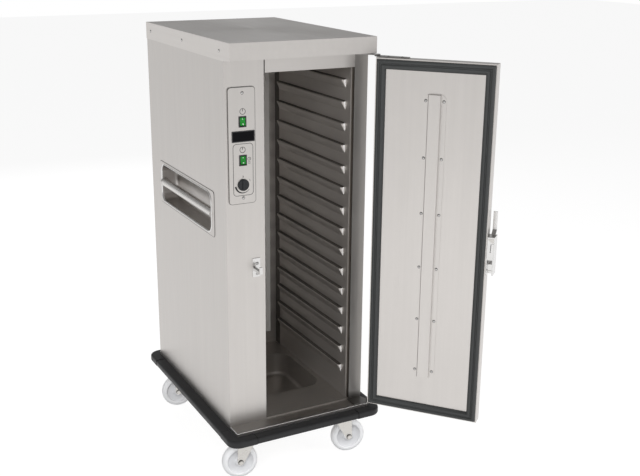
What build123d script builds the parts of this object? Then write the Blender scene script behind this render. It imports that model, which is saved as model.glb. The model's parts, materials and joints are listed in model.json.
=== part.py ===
from build123d import *
import math
import os

os.makedirs("parts", exist_ok=True)

# Overall cabinet, millimetres. X right, Y to the back, Z up, floor at Z = 0.
CAB_W = 560.0
CAB_D = 828.0
TOTAL_H = 1641.0

# Hood: top cap with side flaps deeper than the front fascia.
HOOD_T = 1.5
HOOD_FRONT_H = 58.0
HOOD_SIDE_H = 64.0
HOOD_LIP = 14.0
HOOD_SCREW_Y = (-CAB_D / 2 + 87.0, 21.0, CAB_D / 2 - 51.0)
HOOD_SCREW_DROP = 32.0

# Outer body sheet.
BODY_T = 1.2
BODY_HALF_W = CAB_W / 2 - HOOD_T
BODY_BACK_Y = CAB_D / 2 - HOOD_T - BODY_T
BODY_BASE_Z = 231.0
DOOR_RECESS = 56.0
FACE_Y = -CAB_D / 2 + DOOR_RECESS
COLUMN_W = 147.0
JAMB_W = 53.5
OPEN_L = -BODY_HALF_W + COLUMN_W
OPEN_R = BODY_HALF_W - JAMB_W
JAMB_RETURN = 18.0
HEADER_DROP = 110.0
HEADER_SEAM = 4.5

# Cavity for 325 x 530 pans on fifteen levels.
LINER_T = 1.0
CAVITY_L = OPEN_L + 6.5
CAVITY_R = OPEN_R - 7.0
CAVITY_MID = (CAVITY_L + CAVITY_R) / 2
CAVITY_FRONT_Y = FACE_Y + JAMB_RETURN
CAVITY_REAR_Y = CAB_D / 2 - 131.0
CEILING_Z = TOTAL_H - HEADER_DROP + 6.0
FLOOR_Z = BODY_BASE_Z + 4.0
RIB_COUNT = 15
RIB_TOP_Z = CEILING_Z - 55.0
RIB_LOW_Z = FLOOR_Z + 127.0
RIB_PITCH = (RIB_TOP_Z - RIB_LOW_Z) / (RIB_COUNT - 1)
RIB_OUT = 15.0
RIB_H = 33.0
RIB_NOSE = 5.0
RIB_FRONT_Y = CAVITY_FRONT_Y + 33.5
RIB_REAR_Y = CAVITY_REAR_Y - 40.0

# Water basin pressed into the cavity floor.
BASIN_W = CAVITY_R - CAVITY_L - 44.0
BASIN_L = 353.0
BASIN_Y = (CAVITY_FRONT_Y + CAVITY_REAR_Y) / 2 + 12.0
BASIN_DEPTH = 95.0
BASIN_R = 60.0
BASIN_DRAFT = 4.0
BASIN_COVE = 16.0
COVER_GAP = 16.5

# Base tray and frame.
TRAY_T = 2.0
TRAY_HALF_W = CAB_W / 2 - 2.0
TRAY_HALF_L = CAB_D / 2 + 6.0
TRAY_FOLD = 34.0
FRAME_H = 34.0
FRAME_W = 45.0
FRAME_T = 3.0
BRIDGE_T = 4.0
BRIDGE_INNER_Y = TRAY_HALF_L - 132.0
FRAME_TOP_Z = BODY_BASE_Z - TRAY_T
FRAME_Z = FRAME_TOP_Z - FRAME_H

# Bumper.
BUMPER_OUT = 41.0
BUMPER_Z = 191.0
BUMPER_H = 29.0
BUMPER_CORNER_R = 46.0
BUMPER_ARM = 104.0
BUMPER_EDGE_R = 8.0
BUMPER_RAIL_INSET = 1.0
BUMPER_JOINT = 1.0

# Casters.
SWIVEL_X = TRAY_HALF_W - 84.0
SWIVEL_Y = TRAY_HALF_L - 85.0
TRAIL = 38.0
WHEEL_R = 68.0
WHEEL_W = 36.0
WHEEL_DISC_R = 49.0
WHEEL_HUB_R = 20.0
WHEEL_RECESS = 5.0
WHEEL_EDGE_R = 7.0
AXLE_R = 6.0
RUN_FIT = 0.05
FORK_GAP = 2.0
FORK_T = 3.0
FORK_FOOT_R = 13.0
FORK_CROWN_T = 6.0
PLATE_W = 98.0
PLATE_L = 86.0
PLATE_T = 4.0
RACE_R = 33.0
RACE_H = 14.0
KINGPIN_R = 6.0
AXIAL_GAP = 0.3
BOLT_R = 4.0
BOLT_FIT = 0.1
BOLT_X = 38.0
BOLT_Y = 32.0
CASTERS = {
    "fl": (-SWIVEL_X, -SWIVEL_Y, 170.0),
    "fr": (SWIVEL_X, -SWIVEL_Y, -10.0),
    "rl": (-SWIVEL_X, SWIVEL_Y, 170.0),
    "rr": (SWIVEL_X, SWIVEL_Y, 12.0),
}

# Door, hung on pins outside its right front corner and shown 130 degrees open.
PIVOT_X = CAB_W / 2 + 4.6
PIVOT_Y = -CAB_D / 2 + 3.5
DOOR_OPEN = 130.0
DOOR_GAP = 8.6
DOOR_OVERLAP = 20.5
DOOR_W = PIVOT_X - DOOR_GAP - OPEN_L + DOOR_OVERLAP
DOOR_T = 42.0
DOOR_FACE_V = 1.5
DOOR_Z = 246.6
DOOR_HEADROOM = 10.6
DOOR_H = TOTAL_H - HOOD_FRONT_H - DOOR_HEADROOM - DOOR_Z
SKIN_T = 1.0
DOOR_BORDER = 4.0
GASKET_W = 34.0
GASKET_H = 12.0
STRIP_U = DOOR_GAP + DOOR_W / 2 + 3.4
STRIP_W = 45.0
STRIP_FLANGE = 19.0
STRIP_RAISE = 12.0
STRIP_T = 1.2
STRIP_Z = DOOR_Z + 151.4
STRIP_H = DOOR_H - 266.8
STRIP_SCREW_U = 32.4
STRIP_SCREW_ROWS = 6
STRIP_SCREW_Z = STRIP_Z + 25.0
STRIP_SCREW_STEP = (STRIP_H - 47.0) / (STRIP_SCREW_ROWS - 1)
PIN_R = 5.0
ARM_T = 3.0
ARM_L = 112.0
ARM_W = 24.0
ARM_SCREWS = (46.0, 96.0)
HINGE_T = 3.5
HINGE_EYE_R = 11.0

# Latch on the free edge and strike on the column.
LATCH_W = 26.0
LATCH_OUT = 7.0
LATCH_IN = 37.0
LATCH_Z = TOTAL_H - 812.0
LATCH_H = 142.0
LEVER_W = 15.0
LEVER_T = 8.0
LEVER_BLADE_T = 4.0
LEVER_PIN_R = 4.0
LEVER_PIN_INSET = 2.0
LEVER_PIVOT_Z = LATCH_Z + 39.0
LEVER_TOP_Z = LATCH_Z + 223.0
LEVER_OUT = 20.0
LEVER_BEND_Z = LATCH_Z + LATCH_H - 2.0
LEVER_JOG_Z = LEVER_BEND_Z + 16.0
STRIKE_X = OPEN_L - 35.5
STRIKE_W = 30.0
STRIKE_Z = LATCH_Z + 12.0
STRIKE_H = 70.0
STRIKE_T = 3.0
CLAW_X0 = OPEN_L - 38.5
CLAW_X1 = OPEN_L - 26.5
CLAW_Z0 = LATCH_Z - 5.0
CLAW_Z1 = LATCH_Z + 21.0
CLAW_OUT = 33.0

# Controls on the column.
PANEL_T = 3.0
PANEL_X = -CAB_W / 2 + 63.0
PANEL_W = 102.0
PANEL_Z = TOTAL_H - 354.5
PANEL_H = 407.0
CONTROL_X = -CAB_W / 2 + 66.5
PANEL_SCREW_Z = (PANEL_Z + 182.5, PANEL_Z - 182.5)
ROCKER_Z = {"upper": PANEL_Z + 84.5, "lower": PANEL_Z - 49.5}
BEZEL_W = 28.0
BEZEL_H = 38.0
BEZEL_T = 2.0
ROCKER_W = 19.0
ROCKER_TILT = 8.0
ROCKER_PIN_R = 1.5
ROCKER_PROFILE = ((-3.0, -9.0), (-3.0, 9.0), (1.0, 13.4), (6.9, 13.4), (5.4, 5.0), (5.4, -5.0),
                  (6.9, -13.4), (1.0, -13.4))
DISPLAY_Z = PANEL_Z + 34.0
DISPLAY_W = 85.0
DISPLAY_H = 38.5
DISPLAY_X = -CAB_W / 2 + 68.5
KNOB_Z = PANEL_Z - 136.0
KNOB_R = 21.0
KNOB_T = 5.0
KNOB_GRIP = 9.0
SHAFT_R = 3.0

# Recessed push handle on the left side.
DISH_Y = 37.0
DISH_L = 518.0
DISH_Z = TOTAL_H - 620.0
DISH_H = 146.0
DISH_D = 65.0
DISH_T = 1.2
DISH_R = 34.0
DISH_PLATE_Y = 31.0
DISH_PLATE_L = 562.0
DISH_PLATE_H = 168.0
DISH_PLATE_Z = DISH_Z + 1.0
BAR_R = 16.0
BAR_X = -CAB_W / 2 + 12.0
BAR_Z = DISH_Z - 3.0

# Screws shared by the sheet parts.
SCREW_R = 2.0
SCREW_FIT = 0.05
SCREW_HEAD_R = 4.2
SCREW_HEAD_T = 2.2
SCREW_L = 8.0

# Air heating behind the rear duct panel.
DUCT_W = 265.0
DUCT_D = 25.0
DUCT_Z = 300.0
DUCT_H = CEILING_Z - 37.0 - DUCT_Z
FAN_Z = CEILING_Z - 187.0
SLOT_STEP = 70.0
FAN_R = 68.0
FAN_Y0 = CAVITY_REAR_Y - 19.0
FAN_Y1 = CAVITY_REAR_Y - 5.0
FAN_SHAFT_R = 4.0
MOTOR_R = 38.0
MOTOR_L = 62.0
RING_R = 88.0
RING_TUBE_R = 3.2
RING_LEG_INSET = 0.6
INSUL_REAR = 44.0
INSUL_SIDE = 40.0
INSUL_TOP = 46.0
INSUL_BACKSET = 2.0
INLET_X = -CAB_W / 2 + 75.0
INLET_Z = 300.0


def block(x0, x1, y0, y1, z0, z1, mode=Mode.ADD):
    """Box between two corners of the current workplane."""
    with Locations(((x0 + x1) / 2, (y0 + y1) / 2, (z0 + z1) / 2)):
        Box(x1 - x0, y1 - y0, z1 - z0, mode=mode)


def rod_x(x0, x1, y, z, radius, mode=Mode.ADD):
    """Cylinder along X between two positions."""
    with Locations(((x0 + x1) / 2, y, z)):
        Cylinder(radius, x1 - x0, rotation=(0, 90, 0), mode=mode)


def rod_y(x, y0, y1, z, radius, mode=Mode.ADD):
    """Cylinder along Y between two positions."""
    with Locations((x, (y0 + y1) / 2, z)):
        Cylinder(radius, y1 - y0, rotation=(90, 0, 0), mode=mode)


def rod_z(x, y, z0, z1, radius, mode=Mode.ADD):
    """Cylinder along Z between two heights."""
    with Locations((x, y, (z0 + z1) / 2)):
        Cylinder(radius, z1 - z0, mode=mode)


def save(piece, name):
    """Name a part and write its file."""
    piece.label = name
    export_step(piece, f"parts/{name}.step")


def front(y):
    """Plane facing the front, sketched in X and Z, extruded towards -Y."""
    return Plane.XZ.offset(-y)


def door_plane(z):
    """Level plane of the open door: u to the free edge, v to the outer side."""
    angle = math.radians(180.0 + DOOR_OPEN)
    along = (math.cos(angle), math.sin(angle), 0)
    return Plane(origin=(PIVOT_X, PIVOT_Y, z), x_dir=along, z_dir=(0, 0, 1))


def door_face(v):
    """Upright plane of the open door at depth v, extruded towards its inner side."""
    angle = math.radians(180.0 + DOOR_OPEN)
    along = Vector(math.cos(angle), math.sin(angle), 0)
    outward = Vector(-along.Y, along.X, 0)
    start = Vector(PIVOT_X, PIVOT_Y, 0) + outward * v
    return Plane(origin=start, x_dir=along, z_dir=outward * -1)


# Hood.
HOOD_HALF_W = CAB_W / 2
HOOD_HALF_D = CAB_D / 2
HOOD_FRONT_Z = TOTAL_H - HOOD_FRONT_H
HOOD_SIDE_Z = TOTAL_H - HOOD_SIDE_H
HOOD_SCREW_Z = TOTAL_H - HOOD_SCREW_DROP
BODY_TOP_Z = TOTAL_H - HOOD_T
SCREW_HOLE_R = SCREW_R + SCREW_FIT

with BuildPart() as top_hood:
    block(-HOOD_HALF_W, HOOD_HALF_W, -HOOD_HALF_D, HOOD_HALF_D, HOOD_SIDE_Z, TOTAL_H)
    block(-HOOD_HALF_W + HOOD_T, HOOD_HALF_W - HOOD_T, -HOOD_HALF_D + HOOD_T,
          HOOD_HALF_D - HOOD_T, HOOD_SIDE_Z, BODY_TOP_Z, Mode.SUBTRACT)
    with BuildSketch(Plane.YZ.offset(-HOOD_HALF_W)):
        with BuildLine():
            Polyline((-HOOD_HALF_D - 1, HOOD_SIDE_Z - 1), (FACE_Y, HOOD_SIDE_Z - 1),
                     (FACE_Y, HOOD_SIDE_Z), (-HOOD_HALF_D + HOOD_T, HOOD_FRONT_Z),
                     (-HOOD_HALF_D - 1, HOOD_FRONT_Z), close=True)
        make_face()
    extrude(amount=CAB_W, mode=Mode.SUBTRACT)
    block(-HOOD_HALF_W + HOOD_T, HOOD_HALF_W - HOOD_T, -HOOD_HALF_D,
          -HOOD_HALF_D + HOOD_LIP, HOOD_FRONT_Z, HOOD_FRONT_Z + HOOD_T)
    for screw_y in HOOD_SCREW_Y:
        rod_x(-HOOD_HALF_W - 1, HOOD_HALF_W + 1, screw_y, HOOD_SCREW_Z, SCREW_HOLE_R, Mode.SUBTRACT)
save(top_hood.part, "top_hood")

# Left side and control column, folded from one sheet.
with BuildPart() as side_panel_left:
    block(-BODY_HALF_W, -BODY_HALF_W + BODY_T, FACE_Y, BODY_BACK_Y, BODY_BASE_Z, BODY_TOP_Z)
    block(-BODY_HALF_W, OPEN_L, FACE_Y, FACE_Y + BODY_T, BODY_BASE_Z, BODY_TOP_Z)
    block(OPEN_L - BODY_T, OPEN_L, FACE_Y, FACE_Y + JAMB_RETURN, BODY_BASE_Z, BODY_TOP_Z)
    with BuildSketch(Plane.YZ.offset(-BODY_HALF_W)):
        with Locations((DISH_Y, DISH_Z)):
            RectangleRounded(DISH_L + 2 * DISH_T + 0.6, DISH_H + 2 * DISH_T + 0.6, DISH_R + DISH_T)
    extrude(amount=BODY_T, mode=Mode.SUBTRACT)
    for screw_y in HOOD_SCREW_Y:
        rod_x(-BODY_HALF_W - 1, -BODY_HALF_W + BODY_T + 1, screw_y, HOOD_SCREW_Z,
              SCREW_HOLE_R, Mode.SUBTRACT)
    for screw_z in PANEL_SCREW_Z:
        rod_y(CONTROL_X, FACE_Y - 1, FACE_Y + BODY_T + 1, screw_z, SCREW_HOLE_R, Mode.SUBTRACT)
    for screw_z in (STRIKE_Z - 23, STRIKE_Z + 15.5):
        rod_y(STRIKE_X + 3, FACE_Y - 1, FACE_Y + BODY_T + 1, screw_z, SCREW_HOLE_R, Mode.SUBTRACT)
    for rocker_z in ROCKER_Z.values():
        block(CONTROL_X - 12.5, CONTROL_X + 12.5, FACE_Y - 1, FACE_Y + BODY_T + 1,
              rocker_z - 17.5, rocker_z + 17.5, Mode.SUBTRACT)
    block(DISPLAY_X - 39.5, DISPLAY_X + 39.5, FACE_Y - 1, FACE_Y + BODY_T + 1,
          DISPLAY_Z - 16.5, DISPLAY_Z + 16.5, Mode.SUBTRACT)
    rod_y(CONTROL_X, FACE_Y - 1, FACE_Y + BODY_T + 1, KNOB_Z, SHAFT_R + 3.3, Mode.SUBTRACT)
save(side_panel_left.part, "side_panel_left")

with BuildPart() as side_panel_right:
    block(BODY_HALF_W - BODY_T, BODY_HALF_W, FACE_Y, BODY_BACK_Y, BODY_BASE_Z, BODY_TOP_Z)
    block(OPEN_R, BODY_HALF_W, FACE_Y, FACE_Y + BODY_T, BODY_BASE_Z, BODY_TOP_Z)
    block(OPEN_R, OPEN_R + BODY_T, FACE_Y, FACE_Y + JAMB_RETURN, BODY_BASE_Z, BODY_TOP_Z)
    for screw_y in HOOD_SCREW_Y:
        rod_x(BODY_HALF_W - BODY_T - 1, BODY_HALF_W + 1, screw_y, HOOD_SCREW_Z,
              SCREW_HOLE_R, Mode.SUBTRACT)
save(side_panel_right.part, "side_panel_right")

# Header above the opening, with a groove where it meets the column.
HEADER_Z = TOTAL_H - HEADER_DROP
HEADER_L = OPEN_L + HEADER_SEAM
with BuildPart() as header_panel:
    block(HEADER_L, OPEN_R, FACE_Y, FACE_Y + BODY_T, HEADER_Z, BODY_TOP_Z)
    block(HEADER_L, OPEN_R, FACE_Y, CAVITY_FRONT_Y, HEADER_Z, HEADER_Z + BODY_T)
    block(HEADER_L, HEADER_L + BODY_T, FACE_Y, CAVITY_FRONT_Y, HEADER_Z, BODY_TOP_Z)
    block(OPEN_L, HEADER_L, CAVITY_FRONT_Y - BODY_T, CAVITY_FRONT_Y, HEADER_Z, BODY_TOP_Z)
save(header_panel.part, "header_panel")

with BuildPart() as back_panel:
    block(-BODY_HALF_W, BODY_HALF_W, BODY_BACK_Y, BODY_BACK_Y + BODY_T, BODY_BASE_Z, BODY_TOP_Z)
    rod_y(INLET_X, BODY_BACK_Y - 1, BODY_BACK_Y + BODY_T + 1, INLET_Z, 22.3, Mode.SUBTRACT)
save(back_panel.part, "back_panel")

# Base tray with folded edges, and the welded frame below it.
with BuildPart() as base_tray:
    block(-TRAY_HALF_W, TRAY_HALF_W, -TRAY_HALF_L, TRAY_HALF_L, BODY_BASE_Z - TRAY_FOLD - TRAY_T,
          BODY_BASE_Z)
    block(-TRAY_HALF_W + TRAY_T, TRAY_HALF_W - TRAY_T, -TRAY_HALF_L + TRAY_T,
          TRAY_HALF_L - TRAY_T, BODY_BASE_Z - TRAY_FOLD - TRAY_T, FRAME_TOP_Z, Mode.SUBTRACT)
    with BuildSketch(Plane.XY.offset(FRAME_TOP_Z)):
        with Locations((CAVITY_MID, BASIN_Y)):
            RectangleRounded(BASIN_W + 12, BASIN_L + 12, BASIN_R + 6)
    extrude(amount=TRAY_T, mode=Mode.SUBTRACT)
save(base_tray.part, "base_tray")

FRAME_HALF_W = TRAY_HALF_W - TRAY_T
FRAME_HALF_L = TRAY_HALF_L - TRAY_T
with BuildPart() as base_frame:
    block(-FRAME_HALF_W, FRAME_HALF_W, -FRAME_HALF_L, FRAME_HALF_L, FRAME_Z, FRAME_TOP_Z)
    block(-FRAME_HALF_W + FRAME_W, FRAME_HALF_W - FRAME_W, -FRAME_HALF_L + FRAME_W,
          FRAME_HALF_L - FRAME_W, FRAME_Z, FRAME_TOP_Z, Mode.SUBTRACT)
    block(-FRAME_HALF_W + FRAME_T, FRAME_HALF_W - FRAME_T, -FRAME_HALF_L + FRAME_T,
          FRAME_HALF_L - FRAME_T, FRAME_Z + FRAME_T, FRAME_TOP_Z - FRAME_T, Mode.SUBTRACT)
    for side in (-1, 1):
        inner = side * BRIDGE_INNER_Y
        outer = side * (FRAME_HALF_L - FRAME_T)
        block(-FRAME_HALF_W + FRAME_T, FRAME_HALF_W - FRAME_T, min(inner, outer),
              max(inner, outer), FRAME_Z, FRAME_Z + BRIDGE_T)
        web = side * (BRIDGE_INNER_Y + BRIDGE_T)
        block(-FRAME_HALF_W + FRAME_T, FRAME_HALF_W - FRAME_T, min(inner, web),
              max(inner, web), FRAME_Z, FRAME_TOP_Z)
    for sx, sy, angle in CASTERS.values():
        for bx in (-BOLT_X, BOLT_X):
            for by in (-BOLT_Y, BOLT_Y):
                rod_z(sx + bx, sy + by, FRAME_Z - 1, FRAME_Z + BRIDGE_T + 1,
                      BOLT_R + BOLT_FIT, Mode.SUBTRACT)
save(base_frame.part, "base_frame")


def runner_wall(inner_x, side):
    """Side wall pressed with fifteen pan runners; side is +1 for the right wall."""
    out_x = inner_x + side * LINER_T
    tip_x = inner_x - side * RIB_OUT
    hollow_x = tip_x + side * LINER_T
    with BuildPart() as wall:
        block(min(inner_x, out_x), max(inner_x, out_x), CAVITY_FRONT_Y, CAVITY_REAR_Y,
              FLOOR_Z, CEILING_Z)
        jamb_x = OPEN_R if side > 0 else OPEN_L
        block(min(inner_x, jamb_x), max(inner_x, jamb_x), CAVITY_FRONT_Y,
              CAVITY_FRONT_Y + LINER_T, FLOOR_Z, HEADER_Z)
        with BuildSketch(front(RIB_REAR_Y)):
            for level in range(RIB_COUNT):
                top = RIB_TOP_Z - level * RIB_PITCH
                with BuildLine():
                    Polyline((inner_x, top), (tip_x, top), (tip_x, top - RIB_NOSE),
                             (inner_x, top - RIB_H), close=True)
                make_face()
        extrude(amount=RIB_REAR_Y - RIB_FRONT_Y)
        with BuildSketch(front(RIB_REAR_Y - LINER_T)):
            for level in range(RIB_COUNT):
                top = RIB_TOP_Z - level * RIB_PITCH - LINER_T
                with BuildLine():
                    Polyline((out_x, top), (hollow_x, top), (hollow_x, top - RIB_NOSE + LINER_T),
                             (out_x, top - RIB_H + 2 * LINER_T), close=True)
                make_face()
        extrude(amount=RIB_REAR_Y - RIB_FRONT_Y - 2 * LINER_T, mode=Mode.SUBTRACT)
    return wall.part


save(runner_wall(CAVITY_L, -1), "runner_wall_left")
save(runner_wall(CAVITY_R, 1), "runner_wall_right")

with BuildPart() as liner_ceiling:
    block(CAVITY_L - LINER_T, CAVITY_R + LINER_T, CAVITY_FRONT_Y, CAVITY_REAR_Y, CEILING_Z,
          CEILING_Z + LINER_T)
    block(CAVITY_L, CAVITY_R, CAVITY_FRONT_Y, CAVITY_FRONT_Y + LINER_T, HEADER_Z, CEILING_Z)
save(liner_ceiling.part, "liner_ceiling")

RING_LEG_X = CAVITY_MID + RING_R - RING_LEG_INSET
with BuildPart() as liner_rear:
    block(CAVITY_L - LINER_T, CAVITY_R + LINER_T, CAVITY_REAR_Y, CAVITY_REAR_Y + LINER_T,
          FLOOR_Z - LINER_T, CEILING_Z + LINER_T)
    rod_y(CAVITY_MID, CAVITY_REAR_Y - 1, CAVITY_REAR_Y + 2, FAN_Z, FAN_SHAFT_R + 2, Mode.SUBTRACT)
    for leg_z in (FAN_Z - 10, FAN_Z + 10):
        rod_y(RING_LEG_X, CAVITY_REAR_Y - 1, CAVITY_REAR_Y + 2, leg_z, RING_TUBE_R + 0.3,
              Mode.SUBTRACT)
save(liner_rear.part, "liner_rear")

# Cavity floor with the drawn basin.
with BuildPart() as basin_space:
    with BuildSketch(Plane.XY.offset(FLOOR_Z)):
        with Locations((CAVITY_MID, BASIN_Y)):
            RectangleRounded(BASIN_W, BASIN_L, BASIN_R)
    extrude(amount=-BASIN_DEPTH, taper=BASIN_DRAFT)
    fillet(basin_space.edges().group_by(Axis.Z)[0], BASIN_COVE)

with BuildPart() as liner_floor:
    block(CAVITY_L - LINER_T, CAVITY_R + LINER_T, CAVITY_FRONT_Y, CAVITY_REAR_Y,
          FLOOR_Z - LINER_T, FLOOR_Z)
    block(OPEN_L, OPEN_R, FACE_Y + BODY_T, CAVITY_FRONT_Y, FLOOR_Z - LINER_T, FLOOR_Z)
    block(OPEN_L, OPEN_R, FACE_Y + BODY_T, FACE_Y + BODY_T + LINER_T, BODY_BASE_Z, FLOOR_Z)
    with BuildSketch(Plane.XY.offset(FLOOR_Z)):
        with Locations((CAVITY_MID, BASIN_Y)):
            RectangleRounded(BASIN_W + 2 * LINER_T, BASIN_L + 2 * LINER_T, BASIN_R + LINER_T)
    extrude(amount=-BASIN_DEPTH - LINER_T, taper=BASIN_DRAFT)
    fillet(liner_floor.edges().group_by(Axis.Z)[0], BASIN_COVE + LINER_T)
    add(basin_space.part, mode=Mode.SUBTRACT)
save(liner_floor.part, "liner_floor")

BASIN_BOTTOM_Z = FLOOR_Z - BASIN_DEPTH - LINER_T
with BuildPart() as basin_heater:
    block(CAVITY_MID - 105, CAVITY_MID + 105, BASIN_Y - 130, BASIN_Y + 130,
          BASIN_BOTTOM_Z - 4, BASIN_BOTTOM_Z)
    block(CAVITY_MID - 20, CAVITY_MID + 20, BASIN_Y + 60, BASIN_Y + 90,
          BASIN_BOTTOM_Z - 12, BASIN_BOTTOM_Z - 4)
save(basin_heater.part, "basin_heater")

COVER_Z = BASIN_BOTTOM_Z - 20
COVER_HALF_W = BASIN_W / 2 + COVER_GAP
COVER_HALF_L = BASIN_L / 2 + COVER_GAP
with BuildPart() as basin_cover:
    block(CAVITY_MID - COVER_HALF_W, CAVITY_MID + COVER_HALF_W, BASIN_Y - COVER_HALF_L,
          BASIN_Y + COVER_HALF_L, COVER_Z, FRAME_TOP_Z)
    block(CAVITY_MID - COVER_HALF_W + BODY_T, CAVITY_MID + COVER_HALF_W - BODY_T,
          BASIN_Y - COVER_HALF_L + BODY_T, BASIN_Y + COVER_HALF_L - BODY_T, COVER_Z + BODY_T,
          FRAME_TOP_Z, Mode.SUBTRACT)
save(basin_cover.part, "basin_cover")

# Insulation.
with BuildPart() as insulation_left:
    block(CAVITY_L - LINER_T - INSUL_SIDE, CAVITY_L - LINER_T, CAVITY_FRONT_Y + INSUL_BACKSET,
          CAVITY_REAR_Y + LINER_T, FLOOR_Z, CEILING_Z)
save(insulation_left.part, "insulation_left")

with BuildPart() as insulation_right:
    block(CAVITY_R + LINER_T, BODY_HALF_W - BODY_T, CAVITY_FRONT_Y + INSUL_BACKSET,
          CAVITY_REAR_Y + LINER_T, FLOOR_Z, CEILING_Z)
save(insulation_right.part, "insulation_right")

with BuildPart() as insulation_top:
    block(CAVITY_L - LINER_T, CAVITY_R + LINER_T, CAVITY_FRONT_Y + INSUL_BACKSET,
          CAVITY_REAR_Y + LINER_T, CEILING_Z + LINER_T, CEILING_Z + LINER_T + INSUL_TOP)
save(insulation_top.part, "insulation_top")

with BuildPart() as insulation_rear:
    block(CAVITY_L - LINER_T, CAVITY_R + LINER_T, CAVITY_REAR_Y + LINER_T,
          CAVITY_REAR_Y + LINER_T + INSUL_REAR, FLOOR_Z, CEILING_Z)
    rod_y(CAVITY_MID, CAVITY_REAR_Y, CAVITY_REAR_Y + LINER_T + INSUL_REAR + 1, FAN_Z,
          MOTOR_R + 4, Mode.SUBTRACT)
    block(CAVITY_MID + RING_R - 10, CAVITY_MID + RING_R + 10, CAVITY_REAR_Y + LINER_T,
          CAVITY_REAR_Y + LINER_T + INSUL_REAR, FAN_Z - 20, FAN_Z + 20, Mode.SUBTRACT)
save(insulation_rear.part, "insulation_rear")

# Duct panel on the rear wall with an intake grille above and outlet slots below.
DUCT_L = CAVITY_MID - DUCT_W / 2
DUCT_R = CAVITY_MID + DUCT_W / 2
DUCT_FACE_Y = CAVITY_REAR_Y - DUCT_D
with BuildPart() as duct_panel:
    block(DUCT_L, DUCT_R, DUCT_FACE_Y, CAVITY_REAR_Y, DUCT_Z, DUCT_Z + DUCT_H)
    block(DUCT_L + LINER_T, DUCT_R - LINER_T, DUCT_FACE_Y + LINER_T, CAVITY_REAR_Y,
          DUCT_Z + LINER_T, DUCT_Z + DUCT_H - LINER_T, Mode.SUBTRACT)
    for row in range(-4, 5):
        half = math.sqrt(65.0 ** 2 - (row * 12.0) ** 2)
        block(CAVITY_MID - half, CAVITY_MID + half, DUCT_FACE_Y - 1, DUCT_FACE_Y + LINER_T + 1,
              FAN_Z + row * 12.0 - 3, FAN_Z + row * 12.0 + 3, Mode.SUBTRACT)
    for row in range(int((FAN_Z - 200 - DUCT_Z) / SLOT_STEP)):
        slot_z = DUCT_Z + 40 + row * SLOT_STEP
        for side in (-1, 1):
            slot_x = CAVITY_MID + side * 75
            block(slot_x - 30, slot_x + 30, DUCT_FACE_Y - 1, DUCT_FACE_Y + LINER_T + 1,
                  slot_z - 4, slot_z + 4, Mode.SUBTRACT)
save(duct_panel.part, "duct_panel")

with BuildPart() as fan_impeller:
    rod_y(CAVITY_MID, FAN_Y1 - 1.5, FAN_Y1, FAN_Z, FAN_R)
    rod_y(CAVITY_MID, FAN_Y0, FAN_Y1, FAN_Z, 12.0)
    for blade in range(12):
        with BuildSketch(front(FAN_Y1 - 1.5)):
            with Locations((CAVITY_MID, FAN_Z)):
                with PolarLocations(54.0, 1, start_angle=blade * 30.0):
                    Rectangle(24.0, 1.5, rotation=28.0)
        extrude(amount=FAN_Y1 - 1.5 - FAN_Y0)
    rod_y(CAVITY_MID, FAN_Y1 - 2, CAVITY_REAR_Y + 30, FAN_Z, FAN_SHAFT_R)
save(fan_impeller.part, "fan_impeller")

with BuildPart() as fan_motor:
    rod_y(CAVITY_MID, CAVITY_REAR_Y + LINER_T, CAVITY_REAR_Y + LINER_T + MOTOR_L, FAN_Z, MOTOR_R)
    rod_y(CAVITY_MID, CAVITY_REAR_Y + LINER_T - 1, CAVITY_REAR_Y + 34, FAN_Z,
          FAN_SHAFT_R + RUN_FIT, Mode.SUBTRACT)
save(fan_motor.part, "fan_motor")

RING_Y = (FAN_Y0 + FAN_Y1) / 2
with BuildPart() as air_heater:
    with Locations((CAVITY_MID, RING_Y, FAN_Z)):
        Torus(RING_R, RING_TUBE_R, rotation=(90, 0, 0))
    block(CAVITY_MID + RING_R - 12, CAVITY_MID + RING_R + 12, RING_Y - 8, RING_Y + 8,
          FAN_Z - 5, FAN_Z + 5, Mode.SUBTRACT)
    for leg_z in (FAN_Z - 10, FAN_Z + 10):
        rod_y(RING_LEG_X, RING_Y, CAVITY_REAR_Y + 26, leg_z, RING_TUBE_R)
    block(CAVITY_MID + RING_R - 8, CAVITY_MID + RING_R + 8, CAVITY_REAR_Y - 2, CAVITY_REAR_Y,
          FAN_Z - 17, FAN_Z + 17)
save(air_heater.part, "air_heater")

with BuildPart() as power_inlet:
    block(INLET_X - 29, INLET_X + 29, BODY_BACK_Y + BODY_T, BODY_BACK_Y + BODY_T + 1.4,
          INLET_Z - 29, INLET_Z + 29)
    rod_y(INLET_X, BODY_BACK_Y - 40, BODY_BACK_Y + BODY_T, INLET_Z, 22.0)
    rod_y(INLET_X, BODY_BACK_Y - 36, BODY_BACK_Y + BODY_T + 2, INLET_Z, 19.0, Mode.SUBTRACT)
    for pin in (-8.0, 0.0, 8.0):
        rod_y(INLET_X + pin, BODY_BACK_Y - 37, BODY_BACK_Y - 10, INLET_Z, 2.0)
save(power_inlet.part, "power_inlet")

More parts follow.
